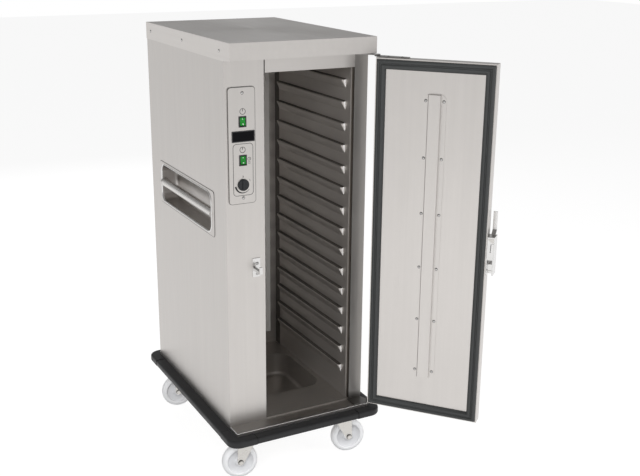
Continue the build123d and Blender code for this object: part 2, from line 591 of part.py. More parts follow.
# Control plate and what is fitted in it.
PANEL_FACE_Y = FACE_Y - PANEL_T
with BuildPart() as control_plate:
    with BuildSketch(front(FACE_Y)):
        with Locations((PANEL_X, PANEL_Z)):
            RectangleRounded(PANEL_W, PANEL_H, 12.0)
    extrude(amount=PANEL_T)
    for screw_z in PANEL_SCREW_Z:
        rod_y(CONTROL_X, PANEL_FACE_Y - 1, FACE_Y + 1, screw_z, SCREW_HOLE_R, Mode.SUBTRACT)
    for rocker_z in ROCKER_Z.values():
        block(CONTROL_X - 12.2, CONTROL_X + 12.2, PANEL_FACE_Y - 1, FACE_Y + 1,
              rocker_z - 17.2, rocker_z + 17.2, Mode.SUBTRACT)
    block(DISPLAY_X - 39.2, DISPLAY_X + 39.2, PANEL_FACE_Y - 1, FACE_Y + 1,
          DISPLAY_Z - 16.2, DISPLAY_Z + 16.2, Mode.SUBTRACT)
    rod_y(CONTROL_X, PANEL_FACE_Y - 1, FACE_Y + 1, KNOB_Z, SHAFT_R + 3.3, Mode.SUBTRACT)
save(control_plate.part, "control_plate")

with BuildPart() as display_unit:
    block(DISPLAY_X - DISPLAY_W / 2, DISPLAY_X + DISPLAY_W / 2, PANEL_FACE_Y - 1.5, PANEL_FACE_Y,
          DISPLAY_Z - DISPLAY_H / 2, DISPLAY_Z + DISPLAY_H / 2)
    block(DISPLAY_X - 39, DISPLAY_X + 39, PANEL_FACE_Y, FACE_Y + 58, DISPLAY_Z - 16, DISPLAY_Z + 16)
save(display_unit.part, "display_unit")

with BuildPart() as rocker_frames:
    for rocker_z in ROCKER_Z.values():
        block(CONTROL_X - BEZEL_W / 2, CONTROL_X + BEZEL_W / 2, PANEL_FACE_Y - BEZEL_T,
              PANEL_FACE_Y, rocker_z - BEZEL_H / 2, rocker_z + BEZEL_H / 2)
        block(CONTROL_X - 12, CONTROL_X + 12, PANEL_FACE_Y, FACE_Y + 26, rocker_z - 17,
              rocker_z + 17)
        block(CONTROL_X - 10, CONTROL_X + 10, PANEL_FACE_Y - BEZEL_T - 1, FACE_Y + 12,
              rocker_z - 15.5, rocker_z + 15.5, Mode.SUBTRACT)
        rod_x(CONTROL_X - 11.5, CONTROL_X + 11.5, FACE_Y, rocker_z, ROCKER_PIN_R + RUN_FIT,
              Mode.SUBTRACT)
save(rocker_frames.part, "rocker_frames")


def rocker(rocker_z):
    """Rocker button about a pin in the column face, with its upper half pressed in."""
    turn = math.radians(ROCKER_TILT)
    outline = []
    for out, up in ROCKER_PROFILE:
        y = FACE_Y - out * math.cos(turn) + up * math.sin(turn)
        z = rocker_z + up * math.cos(turn) + out * math.sin(turn)
        outline.append((y, z))
    with BuildPart() as button:
        with BuildSketch(Plane.YZ.offset(CONTROL_X - ROCKER_W / 2)):
            with BuildLine():
                Polyline(*outline, close=True)
            make_face()
        extrude(amount=ROCKER_W)
        rod_x(CONTROL_X - 11.2, CONTROL_X + 11.2, FACE_Y, rocker_z, ROCKER_PIN_R)
    return button.part


save(rocker(ROCKER_Z["upper"]), "rocker_upper")
save(rocker(ROCKER_Z["lower"]), "rocker_lower")

with BuildPart() as thermostat:
    block(CONTROL_X - 22, CONTROL_X + 22, FACE_Y + BODY_T, FACE_Y + 38, KNOB_Z - 22, KNOB_Z + 22)
    rod_y(CONTROL_X, FACE_Y - 1, FACE_Y + BODY_T + 1, KNOB_Z, SHAFT_R + 3)
    rod_y(CONTROL_X, FACE_Y - 2, FACE_Y + 20, KNOB_Z, SHAFT_R + RUN_FIT, Mode.SUBTRACT)
save(thermostat.part, "thermostat")

KNOB_Y = PANEL_FACE_Y - 0.6
with BuildPart() as knob:
    rod_y(CONTROL_X, KNOB_Y - KNOB_T, KNOB_Y, KNOB_Z, KNOB_R)
    fillet(knob.edges().group_by(Axis.Y)[0], 1.5)
    with BuildSketch(front(KNOB_Y - KNOB_T)):
        with Locations((CONTROL_X, KNOB_Z)):
            RectangleRounded(10.0, 2 * KNOB_R - 2, 4.9)
    extrude(amount=KNOB_GRIP)
    rod_y(CONTROL_X, KNOB_Y - 1, FACE_Y + 18, KNOB_Z, SHAFT_R)
save(knob.part, "knob")

# Push handle: pressed dish behind a plate, with a bar across it.
DISH_X = -BODY_HALF_W
with BuildPart() as handle_dish:
    with BuildSketch(Plane.YZ.offset(-BODY_HALF_W)):
        with Locations((DISH_PLATE_Y, DISH_PLATE_Z)):
            RectangleRounded(DISH_PLATE_L, DISH_PLATE_H, 12.0)
    extrude(amount=-HOOD_T)
    with BuildSketch(Plane.YZ.offset(DISH_X)):
        with Locations((DISH_Y, DISH_Z)):
            RectangleRounded(DISH_L + 2 * DISH_T, DISH_H + 2 * DISH_T, DISH_R + DISH_T)
    extrude(amount=DISH_D)
    with BuildSketch(Plane.YZ.offset(DISH_X - HOOD_T)):
        with Locations((DISH_Y, DISH_Z)):
            RectangleRounded(DISH_L, DISH_H, DISH_R)
    extrude(amount=DISH_D + HOOD_T - DISH_T, mode=Mode.SUBTRACT)
save(handle_dish.part, "handle_dish")

with BuildPart() as handle_bar:
    rod_y(BAR_X, DISH_Y - DISH_L / 2, DISH_Y + DISH_L / 2, BAR_Z, BAR_R)
save(handle_bar.part, "handle_bar")

# Bumper ring in eight pieces.
BUMP_HALF_W = TRAY_HALF_W + BUMPER_OUT
BUMP_HALF_L = TRAY_HALF_L + BUMPER_OUT


def outer_rim(piece):
    """Long edges along the outside of a bumper piece, at its top and bottom."""
    rim = []
    for edge in piece.edges():
        middle = edge.position_at(0.5)
        on_side = abs(middle.X) > TRAY_HALF_W + 20
        on_end = abs(middle.Y) > TRAY_HALF_L + 20
        level = abs(edge.position_at(0).Z - edge.position_at(1).Z) < 0.1
        face_end = edge.geom_type == GeomType.LINE and edge.length < BUMPER_OUT + 1
        if level and (on_side or on_end) and not face_end:
            rim.append(edge)
    return rim


with BuildPart() as bumper_corners:
    with BuildSketch(Plane.XY.offset(BUMPER_Z)):
        RectangleRounded(2 * BUMP_HALF_W, 2 * BUMP_HALF_L, BUMPER_CORNER_R)
        Rectangle(2 * TRAY_HALF_W, 2 * TRAY_HALF_L, mode=Mode.SUBTRACT)
        Rectangle(2 * BUMP_HALF_W, 2 * (BUMP_HALF_L - BUMPER_ARM), mode=Mode.SUBTRACT)
        Rectangle(2 * (BUMP_HALF_W - BUMPER_ARM), 2 * BUMP_HALF_L, mode=Mode.SUBTRACT)
    extrude(amount=BUMPER_H)
    fillet(outer_rim(bumper_corners.part), BUMPER_EDGE_R)
save(bumper_corners.part, "bumper_corners")

RAIL_Z = BUMPER_Z + BUMPER_RAIL_INSET
RAIL_H = BUMPER_H - 2 * BUMPER_RAIL_INSET
RAIL_HALF_L = BUMP_HALF_L - BUMPER_ARM - BUMPER_JOINT
RAIL_HALF_W = BUMP_HALF_W - BUMPER_ARM - BUMPER_JOINT
RAIL_OUT_X = BUMP_HALF_W - BUMPER_RAIL_INSET
RAIL_OUT_Y = BUMP_HALF_L - BUMPER_RAIL_INSET

with BuildPart() as bumper_side_rails:
    block(TRAY_HALF_W, RAIL_OUT_X, -RAIL_HALF_L, RAIL_HALF_L, RAIL_Z, RAIL_Z + RAIL_H)
    block(-RAIL_OUT_X, -TRAY_HALF_W, -RAIL_HALF_L, RAIL_HALF_L, RAIL_Z, RAIL_Z + RAIL_H)
    fillet(outer_rim(bumper_side_rails.part), BUMPER_EDGE_R)
save(bumper_side_rails.part, "bumper_side_rails")

with BuildPart() as bumper_end_rails:
    block(-RAIL_HALF_W, RAIL_HALF_W, TRAY_HALF_L, RAIL_OUT_Y, RAIL_Z, RAIL_Z + RAIL_H)
    block(-RAIL_HALF_W, RAIL_HALF_W, -RAIL_OUT_Y, -TRAY_HALF_L, RAIL_Z, RAIL_Z + RAIL_H)
    fillet(outer_rim(bumper_end_rails.part), BUMPER_EDGE_R)
save(bumper_end_rails.part, "bumper_end_rails")

# Casters.
PLATE_Z = FRAME_Z - PLATE_T
RACE_Z = PLATE_Z - RACE_H
CROWN_TOP_Z = RACE_Z - AXIAL_GAP
CROWN_Z = CROWN_TOP_Z - FORK_CROWN_T

with BuildPart() as caster_plates:
    for sx, sy, angle in CASTERS.values():
        block(sx - PLATE_W / 2, sx + PLATE_W / 2, sy - PLATE_L / 2, sy + PLATE_L / 2,
              PLATE_Z, FRAME_Z)
        rod_z(sx, sy, RACE_Z, PLATE_Z, RACE_R)
        rod_z(sx, sy, CROWN_Z - AXIAL_GAP - 4, RACE_Z, KINGPIN_R)
        rod_z(sx, sy, CROWN_Z - AXIAL_GAP - 4, CROWN_Z - AXIAL_GAP, KINGPIN_R + 4)
        for bx in (-BOLT_X, BOLT_X):
            for by in (-BOLT_Y, BOLT_Y):
                rod_z(sx + bx, sy + by, PLATE_Z - 1, FRAME_Z + 1, BOLT_R + BOLT_FIT, Mode.SUBTRACT)
save(caster_plates.part, "caster_plates")

with BuildPart() as caster_bolts:
    for sx, sy, angle in CASTERS.values():
        for bx in (-BOLT_X, BOLT_X):
            for by in (-BOLT_Y, BOLT_Y):
                rod_z(sx + bx, sy + by, PLATE_Z, FRAME_Z + BRIDGE_T + 6, BOLT_R)
                rod_z(sx + bx, sy + by, PLATE_Z - 5, PLATE_Z, BOLT_R + 2.5)
save(caster_bolts.part, "caster_bolts")


def caster_plane(name):
    """Plane on the floor below a swivel axis, x along the trail."""
    sx, sy, angle = CASTERS[name]
    along = (math.cos(math.radians(angle)), math.sin(math.radians(angle)), 0)
    return Plane(origin=(sx, sy, 0), x_dir=along, z_dir=(0, 0, 1))


def leg_plane(name, y):
    """Upright plane beside the wheel, sketched along the trail and Z."""
    base = caster_plane(name)
    return Plane(origin=base.origin + base.y_dir * y, x_dir=base.x_dir, z_dir=base.y_dir * -1)


LEG_IN = WHEEL_W / 2 + FORK_GAP
LEG_OUT = LEG_IN + FORK_T


def fork(name):
    """Swivel fork with its axle."""
    with BuildPart(caster_plane(name)) as legs:
        rod_z(0, 0, CROWN_Z, CROWN_TOP_Z, RACE_R + 3)
        block(-34, 48, -LEG_OUT, LEG_OUT, CROWN_Z, CROWN_TOP_Z - 1)
        for y in (LEG_OUT, -LEG_IN):
            with BuildSketch(leg_plane(name, y)):
                with Locations((TRAIL, WHEEL_R)):
                    Circle(FORK_FOOT_R)
                with Locations((7, (CROWN_Z + CROWN_TOP_Z - 1) / 2)):
                    Rectangle(82, CROWN_TOP_Z - 1 - CROWN_Z)
                make_hull()
            extrude(amount=FORK_T)
        rod_z(0, 0, CROWN_Z - 1, CROWN_TOP_Z + 1, KINGPIN_R + RUN_FIT, Mode.SUBTRACT)
        rod_y(TRAIL, -LEG_OUT - 4, LEG_OUT + 4, WHEEL_R, AXLE_R)
        rod_y(TRAIL, LEG_OUT, LEG_OUT + 5, WHEEL_R, AXLE_R + 2.5)
        rod_y(TRAIL, -LEG_OUT - 5, -LEG_OUT, WHEEL_R, AXLE_R + 2.5)
    return legs.part


def wheel(name):
    """Wheel with a tread, a recessed disc and a hub on each side."""
    half = WHEEL_W / 2
    with BuildPart(caster_plane(name)) as rim:
        rod_y(TRAIL, -half, half, WHEEL_R, WHEEL_R)
        fillet(rim.edges(), WHEEL_EDGE_R)
        rod_y(TRAIL, half - WHEEL_RECESS, half + 1, WHEEL_R, WHEEL_DISC_R, Mode.SUBTRACT)
        rod_y(TRAIL, -half - 1, -half + WHEEL_RECESS, WHEEL_R, WHEEL_DISC_R, Mode.SUBTRACT)
        rod_y(TRAIL, -half, half, WHEEL_R, WHEEL_HUB_R)
        rod_y(TRAIL, -half - 1, half + 1, WHEEL_R, AXLE_R + RUN_FIT, Mode.SUBTRACT)
    return rim.part


for caster in CASTERS:
    save(fork(caster), f"caster_fork_{caster}")
    save(wheel(caster), f"caster_wheel_{caster}")

# Door hinge brackets on the cabinet.
BRACKET_Z = DOOR_Z + DOOR_H + ARM_T + 0.6
with BuildPart() as hinge_bracket_top:
    with BuildSketch(Plane.XY.offset(BRACKET_Z)):
        with Locations((PIVOT_X, PIVOT_Y)):
            Circle(HINGE_EYE_R)
        with Locations((HOOD_HALF_W - 33, FACE_Y - 7)):
            Rectangle(34, 14)
        make_hull()
    extrude(amount=HINGE_T)
    block(HOOD_HALF_W - 50, HOOD_HALF_W - 16, FACE_Y - 3, FACE_Y, BRACKET_Z + HINGE_T, BRACKET_Z + 46)
    rod_z(PIVOT_X, PIVOT_Y, DOOR_Z + DOOR_H - 1, BRACKET_Z, PIN_R)
save(hinge_bracket_top.part, "hinge_bracket_top")

SOLE_Z = BODY_BASE_Z
with BuildPart() as hinge_bracket_bottom:
    with BuildSketch(Plane.XY.offset(SOLE_Z)):
        with Locations((PIVOT_X, PIVOT_Y)):
            Circle(HINGE_EYE_R)
        with Locations((HOOD_HALF_W - 35, FACE_Y - 28.3)):
            Rectangle(54, 56)
        make_hull()
    extrude(amount=HINGE_T)
    rod_z(PIVOT_X, PIVOT_Y, SOLE_Z + HINGE_T, DOOR_Z - ARM_T - AXIAL_GAP, PIN_R + 3)
    rod_z(PIVOT_X, PIVOT_Y, DOOR_Z - ARM_T - AXIAL_GAP, DOOR_Z + 1, PIN_R)
save(hinge_bracket_bottom.part, "hinge_bracket_bottom")

# Door.
U0 = DOOR_GAP
U1 = DOOR_GAP + DOOR_W
V_OUT = DOOR_FACE_V
V_IN = DOOR_FACE_V - DOOR_T
DOOR_TOP_Z = DOOR_Z + DOOR_H
STRIP_SCREWS = [(STRIP_U + side * STRIP_SCREW_U, STRIP_SCREW_Z + row * STRIP_SCREW_STEP)
                for side in (-1, 1) for row in range(STRIP_SCREW_ROWS)]

with BuildPart(door_plane(0)) as door_shell:
    block(U0, U1, V_IN, V_OUT, DOOR_Z, DOOR_TOP_Z)
    block(U0 + SKIN_T, U1 - SKIN_T, V_IN + SKIN_T, V_OUT - SKIN_T, DOOR_Z + SKIN_T,
          DOOR_TOP_Z - SKIN_T, Mode.SUBTRACT)
    block(U0 + DOOR_BORDER, U1 - DOOR_BORDER, V_IN - 1, V_IN + SKIN_T + 1, DOOR_Z + DOOR_BORDER,
          DOOR_TOP_Z - DOOR_BORDER, Mode.SUBTRACT)
    for screw_u in ARM_SCREWS:
        rod_z(screw_u, -ARM_W / 2, DOOR_Z - 1, DOOR_TOP_Z + 1, SCREW_HOLE_R, Mode.SUBTRACT)
save(door_shell.part, "door_shell")

PANEL_V = V_IN + SKIN_T
with BuildPart(door_plane(0)) as door_panel:
    block(U0 + SKIN_T, U1 - SKIN_T, PANEL_V, PANEL_V + SKIN_T, DOOR_Z + SKIN_T, DOOR_TOP_Z - SKIN_T)
    for screw_u, screw_z in STRIP_SCREWS:
        rod_y(screw_u, PANEL_V - 1, PANEL_V + 2, screw_z, SCREW_HOLE_R, Mode.SUBTRACT)
save(door_panel.part, "door_panel")

with BuildPart(door_plane(0)) as door_insulation:
    block(U0 + SKIN_T, U1 - SKIN_T, PANEL_V + SKIN_T, V_OUT - SKIN_T, DOOR_Z + SKIN_T,
          DOOR_TOP_Z - SKIN_T)
    for screw_u, screw_z in STRIP_SCREWS:
        rod_y(screw_u, PANEL_V, PANEL_V + 12, screw_z, SCREW_HOLE_R, Mode.SUBTRACT)
    for screw_u in ARM_SCREWS:
        rod_z(screw_u, -ARM_W / 2, DOOR_Z, DOOR_Z + 14, SCREW_HOLE_R, Mode.SUBTRACT)
        rod_z(screw_u, -ARM_W / 2, DOOR_TOP_Z - 14, DOOR_TOP_Z, SCREW_HOLE_R, Mode.SUBTRACT)
save(door_insulation.part, "door_insulation")

GASKET_U0 = U0 + DOOR_BORDER + 0.3
GASKET_U1 = U1 - DOOR_BORDER - 0.3
GASKET_Z0 = DOOR_Z + DOOR_BORDER + 0.3
GASKET_Z1 = DOOR_TOP_Z - DOOR_BORDER - 0.3
with BuildPart() as door_gasket:
    with BuildSketch(door_face(PANEL_V)):
        with Locations(((GASKET_U0 + GASKET_U1) / 2, (GASKET_Z0 + GASKET_Z1) / 2)):
            Rectangle(GASKET_U1 - GASKET_U0, GASKET_Z1 - GASKET_Z0)
            Rectangle(GASKET_U1 - GASKET_U0 - 2 * GASKET_W, GASKET_Z1 - GASKET_Z0 - 2 * GASKET_W,
                      mode=Mode.SUBTRACT)
    extrude(amount=GASKET_H)
    with BuildSketch(door_face(PANEL_V - GASKET_H + 5)):
        with Locations(((GASKET_U0 + GASKET_U1) / 2, (GASKET_Z0 + GASKET_Z1) / 2)):
            Rectangle(GASKET_U1 - GASKET_U0 - 24, GASKET_Z1 - GASKET_Z0 - 24)
            Rectangle(GASKET_U1 - GASKET_U0 - 36, GASKET_Z1 - GASKET_Z0 - 36, mode=Mode.SUBTRACT)
    extrude(amount=5, mode=Mode.SUBTRACT)
save(door_gasket.part, "door_gasket")

with BuildPart(door_plane(0)) as door_strip:
    half = STRIP_W / 2
    block(STRIP_U - half - STRIP_FLANGE, STRIP_U + half + STRIP_FLANGE, PANEL_V - STRIP_T,
          PANEL_V, STRIP_Z, STRIP_Z + STRIP_H)
    block(STRIP_U - half, STRIP_U + half, PANEL_V - STRIP_RAISE, PANEL_V, STRIP_Z, STRIP_Z + STRIP_H)
    block(STRIP_U - half + STRIP_T, STRIP_U + half - STRIP_T, PANEL_V - STRIP_RAISE + STRIP_T,
          PANEL_V, STRIP_Z, STRIP_Z + STRIP_H, Mode.SUBTRACT)
    for screw_u, screw_z in STRIP_SCREWS:
        rod_y(screw_u, PANEL_V - 3, PANEL_V + 1, screw_z, SCREW_HOLE_R, Mode.SUBTRACT)
save(door_strip.part, "door_strip")

with BuildPart(door_plane(0)) as door_screws:
    for screw_u, screw_z in STRIP_SCREWS:
        rod_y(screw_u, PANEL_V - STRIP_T - SCREW_HEAD_T, PANEL_V - STRIP_T, screw_z, SCREW_HEAD_R)
        rod_y(screw_u, PANEL_V - STRIP_T, PANEL_V - STRIP_T + SCREW_L, screw_z, SCREW_R)
    for screw_u in ARM_SCREWS:
        rod_z(screw_u, -ARM_W / 2, DOOR_TOP_Z + ARM_T, DOOR_TOP_Z + ARM_T + SCREW_HEAD_T,
              SCREW_HEAD_R)
        rod_z(screw_u, -ARM_W / 2, DOOR_TOP_Z + ARM_T - SCREW_L, DOOR_TOP_Z + ARM_T, SCREW_R)
        rod_z(screw_u, -ARM_W / 2, DOOR_Z - ARM_T - SCREW_HEAD_T, DOOR_Z - ARM_T, SCREW_HEAD_R)
        rod_z(screw_u, -ARM_W / 2, DOOR_Z - ARM_T, DOOR_Z - ARM_T + SCREW_L, SCREW_R)
save(door_screws.part, "door_screws")

with BuildPart() as hinge_arms:
    for arm_z in (DOOR_Z - ARM_T, DOOR_TOP_Z):
        with BuildSketch(door_plane(arm_z)):
            Circle(HINGE_EYE_R - 1)
            with Locations((U0 + ARM_L / 2, -ARM_W / 2)):
                Rectangle(ARM_L, ARM_W)
            make_hull()
            Circle(PIN_R + RUN_FIT, mode=Mode.SUBTRACT)
            for screw_u in ARM_SCREWS:
                with Locations((screw_u, -ARM_W / 2)):
                    Circle(SCREW_HOLE_R, mode=Mode.SUBTRACT)
        extrude(amount=ARM_T)
save(hinge_arms.part, "hinge_arms")

# Latch: housing on the free edge, lever with a nose that drops behind the claw.
LATCH_U1 = U1 + LATCH_W
LATCH_MID_U = (U1 + LATCH_U1) / 2
LEVER_U0 = LATCH_MID_U - LEVER_W / 2
LEVER_U1 = LATCH_MID_U + LEVER_W / 2
with BuildPart(door_plane(0)) as latch_body:
    block(U1, LATCH_U1, -LATCH_IN, LATCH_OUT, LATCH_Z, LATCH_Z + LATCH_H)
    block(U1 - 28, U1, V_OUT, V_OUT + 3, LATCH_Z + 12, LATCH_Z + LATCH_H - 12)
    block(LEVER_U0 - 1, LEVER_U1 + 1, -12, LATCH_OUT + 1, LATCH_Z + 20, LATCH_Z + LATCH_H + 1,
          Mode.SUBTRACT)
    block(U1 + 3, LEVER_U1 + 1, -LATCH_IN - 1, -12, LATCH_Z - 1, LATCH_Z + 57, Mode.SUBTRACT)
    block(LEVER_U0 - 1, LEVER_U1 + 1, -12, LATCH_OUT + 1, LATCH_Z + 10, LATCH_Z + 21, Mode.SUBTRACT)
    rod_x(U1 + LEVER_PIN_INSET - 0.5, LATCH_U1 - LEVER_PIN_INSET + 0.5, 0, LEVER_PIVOT_Z,
          LEVER_PIN_R + RUN_FIT, Mode.SUBTRACT)
save(latch_body.part, "latch_body")

with BuildPart() as latch_lever:
    with BuildSketch(Plane(origin=door_plane(0).origin + door_plane(0).x_dir * LEVER_U0,
                           x_dir=door_plane(0).y_dir, z_dir=door_plane(0).x_dir)):
        with BuildLine():
            Polyline((-LEVER_T / 2, LEVER_PIVOT_Z - 7), (-LEVER_T / 2, LEVER_BEND_Z),
                     (LEVER_OUT - LEVER_BLADE_T, LEVER_JOG_Z),
                     (LEVER_OUT - LEVER_BLADE_T, LEVER_TOP_Z), (LEVER_OUT, LEVER_TOP_Z),
                     (LEVER_OUT, LEVER_JOG_Z - 5), (LEVER_T / 2, LEVER_BEND_Z - 3),
                     (LEVER_T / 2, LEVER_PIVOT_Z - 7), close=True)
        make_face()
        with BuildLine():
            Polyline((0, LEVER_PIVOT_Z - 7), (0, LEVER_PIVOT_Z), (-28, LEVER_PIVOT_Z),
                     (-28, LEVER_PIVOT_Z - 22), (-23, LEVER_PIVOT_Z - 22),
                     (-23, LEVER_PIVOT_Z - 7), close=True)
        make_face()
    extrude(amount=LEVER_W)
    with Locations(door_plane(LEVER_PIVOT_Z).location * Location((LATCH_MID_U, 0, 0), (0, 90, 0))):
        Cylinder(LEVER_PIN_R, LATCH_W - 2 * LEVER_PIN_INSET)
save(latch_lever.part, "latch_lever")

with BuildPart() as strike:
    block(STRIKE_X - STRIKE_W / 2, STRIKE_X + STRIKE_W / 2, FACE_Y - STRIKE_T, FACE_Y,
          STRIKE_Z - STRIKE_H / 2, STRIKE_Z + STRIKE_H / 2)
    block(CLAW_X0, CLAW_X1, FACE_Y - STRIKE_T - CLAW_OUT, FACE_Y - STRIKE_T, CLAW_Z0, CLAW_Z0 + 10)
    block(CLAW_X0, CLAW_X1, FACE_Y - STRIKE_T - CLAW_OUT, FACE_Y - STRIKE_T - CLAW_OUT + 5,
          CLAW_Z0, CLAW_Z1)
    for screw_z in (STRIKE_Z - 23, STRIKE_Z + 15.5):
        rod_y(STRIKE_X + 3, FACE_Y - STRIKE_T - 1, FACE_Y + 1, screw_z, SCREW_HOLE_R, Mode.SUBTRACT)
save(strike.part, "strike")

# Screws of the cabinet: hood flaps, control plate and strike.
with BuildPart() as body_screws:
    for screw_y in HOOD_SCREW_Y:
        for side in (-1, 1):
            head = side * (HOOD_HALF_W + SCREW_HEAD_T)
            seat = side * HOOD_HALF_W
            tip = side * (HOOD_HALF_W - SCREW_L)
            rod_x(min(head, seat), max(head, seat), screw_y, HOOD_SCREW_Z, SCREW_HEAD_R)
            rod_x(min(seat, tip), max(seat, tip), screw_y, HOOD_SCREW_Z, SCREW_R)
    for screw_z in PANEL_SCREW_Z:
        rod_y(CONTROL_X, PANEL_FACE_Y - SCREW_HEAD_T, PANEL_FACE_Y, screw_z, SCREW_HEAD_R)
        rod_y(CONTROL_X, PANEL_FACE_Y, PANEL_FACE_Y + SCREW_L, screw_z, SCREW_R)
    for screw_z in (STRIKE_Z - 23, STRIKE_Z + 15.5):
        rod_y(STRIKE_X + 3, FACE_Y - STRIKE_T - SCREW_HEAD_T, FACE_Y - STRIKE_T, screw_z,
              SCREW_HEAD_R)
        rod_y(STRIKE_X + 3, FACE_Y - STRIKE_T, FACE_Y - STRIKE_T + SCREW_L, screw_z, SCREW_R)
save(body_screws.part, "body_screws")
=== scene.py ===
import bpy
import bmesh
import json
import math
from mathutils import Matrix, Vector


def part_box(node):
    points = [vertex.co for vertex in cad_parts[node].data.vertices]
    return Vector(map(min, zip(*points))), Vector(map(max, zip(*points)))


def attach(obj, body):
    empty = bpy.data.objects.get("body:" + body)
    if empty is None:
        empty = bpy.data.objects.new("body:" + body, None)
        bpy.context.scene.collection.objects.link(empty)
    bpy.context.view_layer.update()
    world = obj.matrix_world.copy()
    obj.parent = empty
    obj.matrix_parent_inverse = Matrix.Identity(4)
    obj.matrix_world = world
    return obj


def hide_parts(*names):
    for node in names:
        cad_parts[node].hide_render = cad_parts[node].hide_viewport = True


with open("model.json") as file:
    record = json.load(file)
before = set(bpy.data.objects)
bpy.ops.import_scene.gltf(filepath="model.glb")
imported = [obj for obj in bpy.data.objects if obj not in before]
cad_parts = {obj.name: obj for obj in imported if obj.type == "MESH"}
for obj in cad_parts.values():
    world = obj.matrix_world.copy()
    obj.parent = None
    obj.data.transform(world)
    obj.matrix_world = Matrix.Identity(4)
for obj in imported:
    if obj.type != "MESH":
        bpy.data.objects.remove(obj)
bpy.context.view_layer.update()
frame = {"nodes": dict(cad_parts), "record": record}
nodes = frame["nodes"]
scene = bpy.context.scene
body_of = {n: b for b, group in frame["record"]["behaviour"]["bodies"].items() for n in group}
slot_of = {s["node"]: s["material_slot"] for s in frame["record"]["subparts"]}

# Frames of the open door and of the casters. Lengths are in metres throughout.
OPEN = math.radians(310.0)
PIVOT = (0.2846, -0.4105)
DOOR = Matrix(((math.cos(OPEN), -math.sin(OPEN), 0, PIVOT[0]),
               (math.sin(OPEN), math.cos(OPEN), 0, PIVOT[1]), (0, 0, 1, 0), (0, 0, 0, 1)))
CASTERS = {"fl": (-0.194, -0.335, 170.0), "fr": (0.194, -0.335, -10.0),
           "rl": (-0.194, 0.335, 170.0), "rr": (0.194, 0.335, 12.0)}
TRAIL = 0.038
WHEEL_Z = 0.068
MM = 0.001
SHEET = 0.001
PANEL_X, PLATE_Y, COLUMN_Y = -0.2135, -0.3610, -0.358


def turn_z(x, y, degrees):
    a = math.radians(degrees)
    return Matrix(((math.cos(a), -math.sin(a), 0, x), (math.sin(a), math.cos(a), 0, y),
                   (0, 0, 1, 0), (0, 0, 0, 1)))


# Materials.
def new_material(name):
    m = bpy.data.materials.new(name)
    m.use_nodes = True
    tree = m.node_tree
    return m, tree, tree.nodes["Principled BSDF"]


def add(tree, kind, **values):
    n = tree.nodes.new(kind)
    for key, value in values.items():
        setattr(n, key, value)
    return n


def coords(tree, scale):
    tex = add(tree, "ShaderNodeTexCoord")
    mapping = add(tree, "ShaderNodeMapping")
    mapping.inputs["Scale"].default_value = scale
    tree.links.new(tex.outputs["Object"], mapping.inputs["Vector"])
    return mapping.outputs["Vector"]


def noise(tree, vector, scale, detail=3.0, rough=0.5):
    n = add(tree, "ShaderNodeTexNoise")
    n.inputs["Scale"].default_value = scale
    n.inputs["Detail"].default_value = detail
    n.inputs["Roughness"].default_value = rough
    tree.links.new(vector, n.inputs["Vector"])
    return n.outputs["Fac"]


def remap(tree, value, low, high, start=0.3, end=0.7):
    r = add(tree, "ShaderNodeMapRange")
    r.inputs["From Min"].default_value = start
    r.inputs["From Max"].default_value = end
    r.inputs["To Min"].default_value = low
    r.inputs["To Max"].default_value = high
    tree.links.new(value, r.inputs["Value"])
    return r.outputs["Result"]


def tint(tree, value, dark, light, start=0.3, end=0.7):
    ramp = add(tree, "ShaderNodeValToRGB")
    ramp.color_ramp.elements[0].position = start
    ramp.color_ramp.elements[0].color = (*dark, 1)
    ramp.color_ramp.elements[1].position = end
    ramp.color_ramp.elements[1].color = (*light, 1)
    tree.links.new(value, ramp.inputs["Fac"])
    return ramp.outputs["Color"]


def bump(tree, bsdf, height, strength, distance):
    b = add(tree, "ShaderNodeBump")
    b.inputs["Strength"].default_value = strength
    b.inputs["Distance"].default_value = distance
    tree.links.new(height, b.inputs["Height"])
    tree.links.new(b.outputs["Normal"], bsdf.inputs["Normal"])


def shade(colour, k):
    return tuple(c * k for c in colour)


def brushed(name, colour, rough, grain="Z", metallic=1.0, cloud=0.05, lines=0.03):
    """Brushed sheet steel: fine grain along one axis over soft clouds and faint wipe marks."""
    m, tree, bsdf = new_material(name)
    along = {"X": (5, 700, 700), "Y": (700, 5, 700), "Z": (700, 700, 5)}[grain]
    broad = {"X": (1.2, 60, 60), "Y": (60, 1.2, 60), "Z": (60, 60, 1.2)}[grain]
    grain_fac = noise(tree, coords(tree, along), 1.0, 4.0, 0.6)
    streak = noise(tree, coords(tree, broad), 1.0, 3.0, 0.55)
    clouds = noise(tree, coords(tree, (3.0, 3.0, 2.2)), 1.0, 4.0, 0.6)
    mix = add(tree, "ShaderNodeMix", data_type="RGBA", blend_type="MULTIPLY")
    mix.inputs[0].default_value = 1.0
    tree.links.new(tint(tree, clouds, shade(colour, 1 - cloud), shade(colour, 1 + cloud * 0.4)),
                   mix.inputs[6])
    tree.links.new(tint(tree, streak, (1 - lines,) * 3, (1.0, 1.0, 1.0)), mix.inputs[7])
    tree.links.new(mix.outputs[2], bsdf.inputs["Base Color"])
    total = add(tree, "ShaderNodeMath", operation="ADD")
    tree.links.new(remap(tree, grain_fac, rough - 0.05, rough + 0.05), total.inputs[0])
    tree.links.new(remap(tree, clouds, -0.03, 0.05), total.inputs[1])
    tree.links.new(total.outputs[0], bsdf.inputs["Roughness"])
    bsdf.inputs["Metallic"].default_value = metallic
    bsdf.inputs["Anisotropic"].default_value = 0.3
    bump(tree, bsdf, grain_fac, 0.06, 0.0004)
    return m


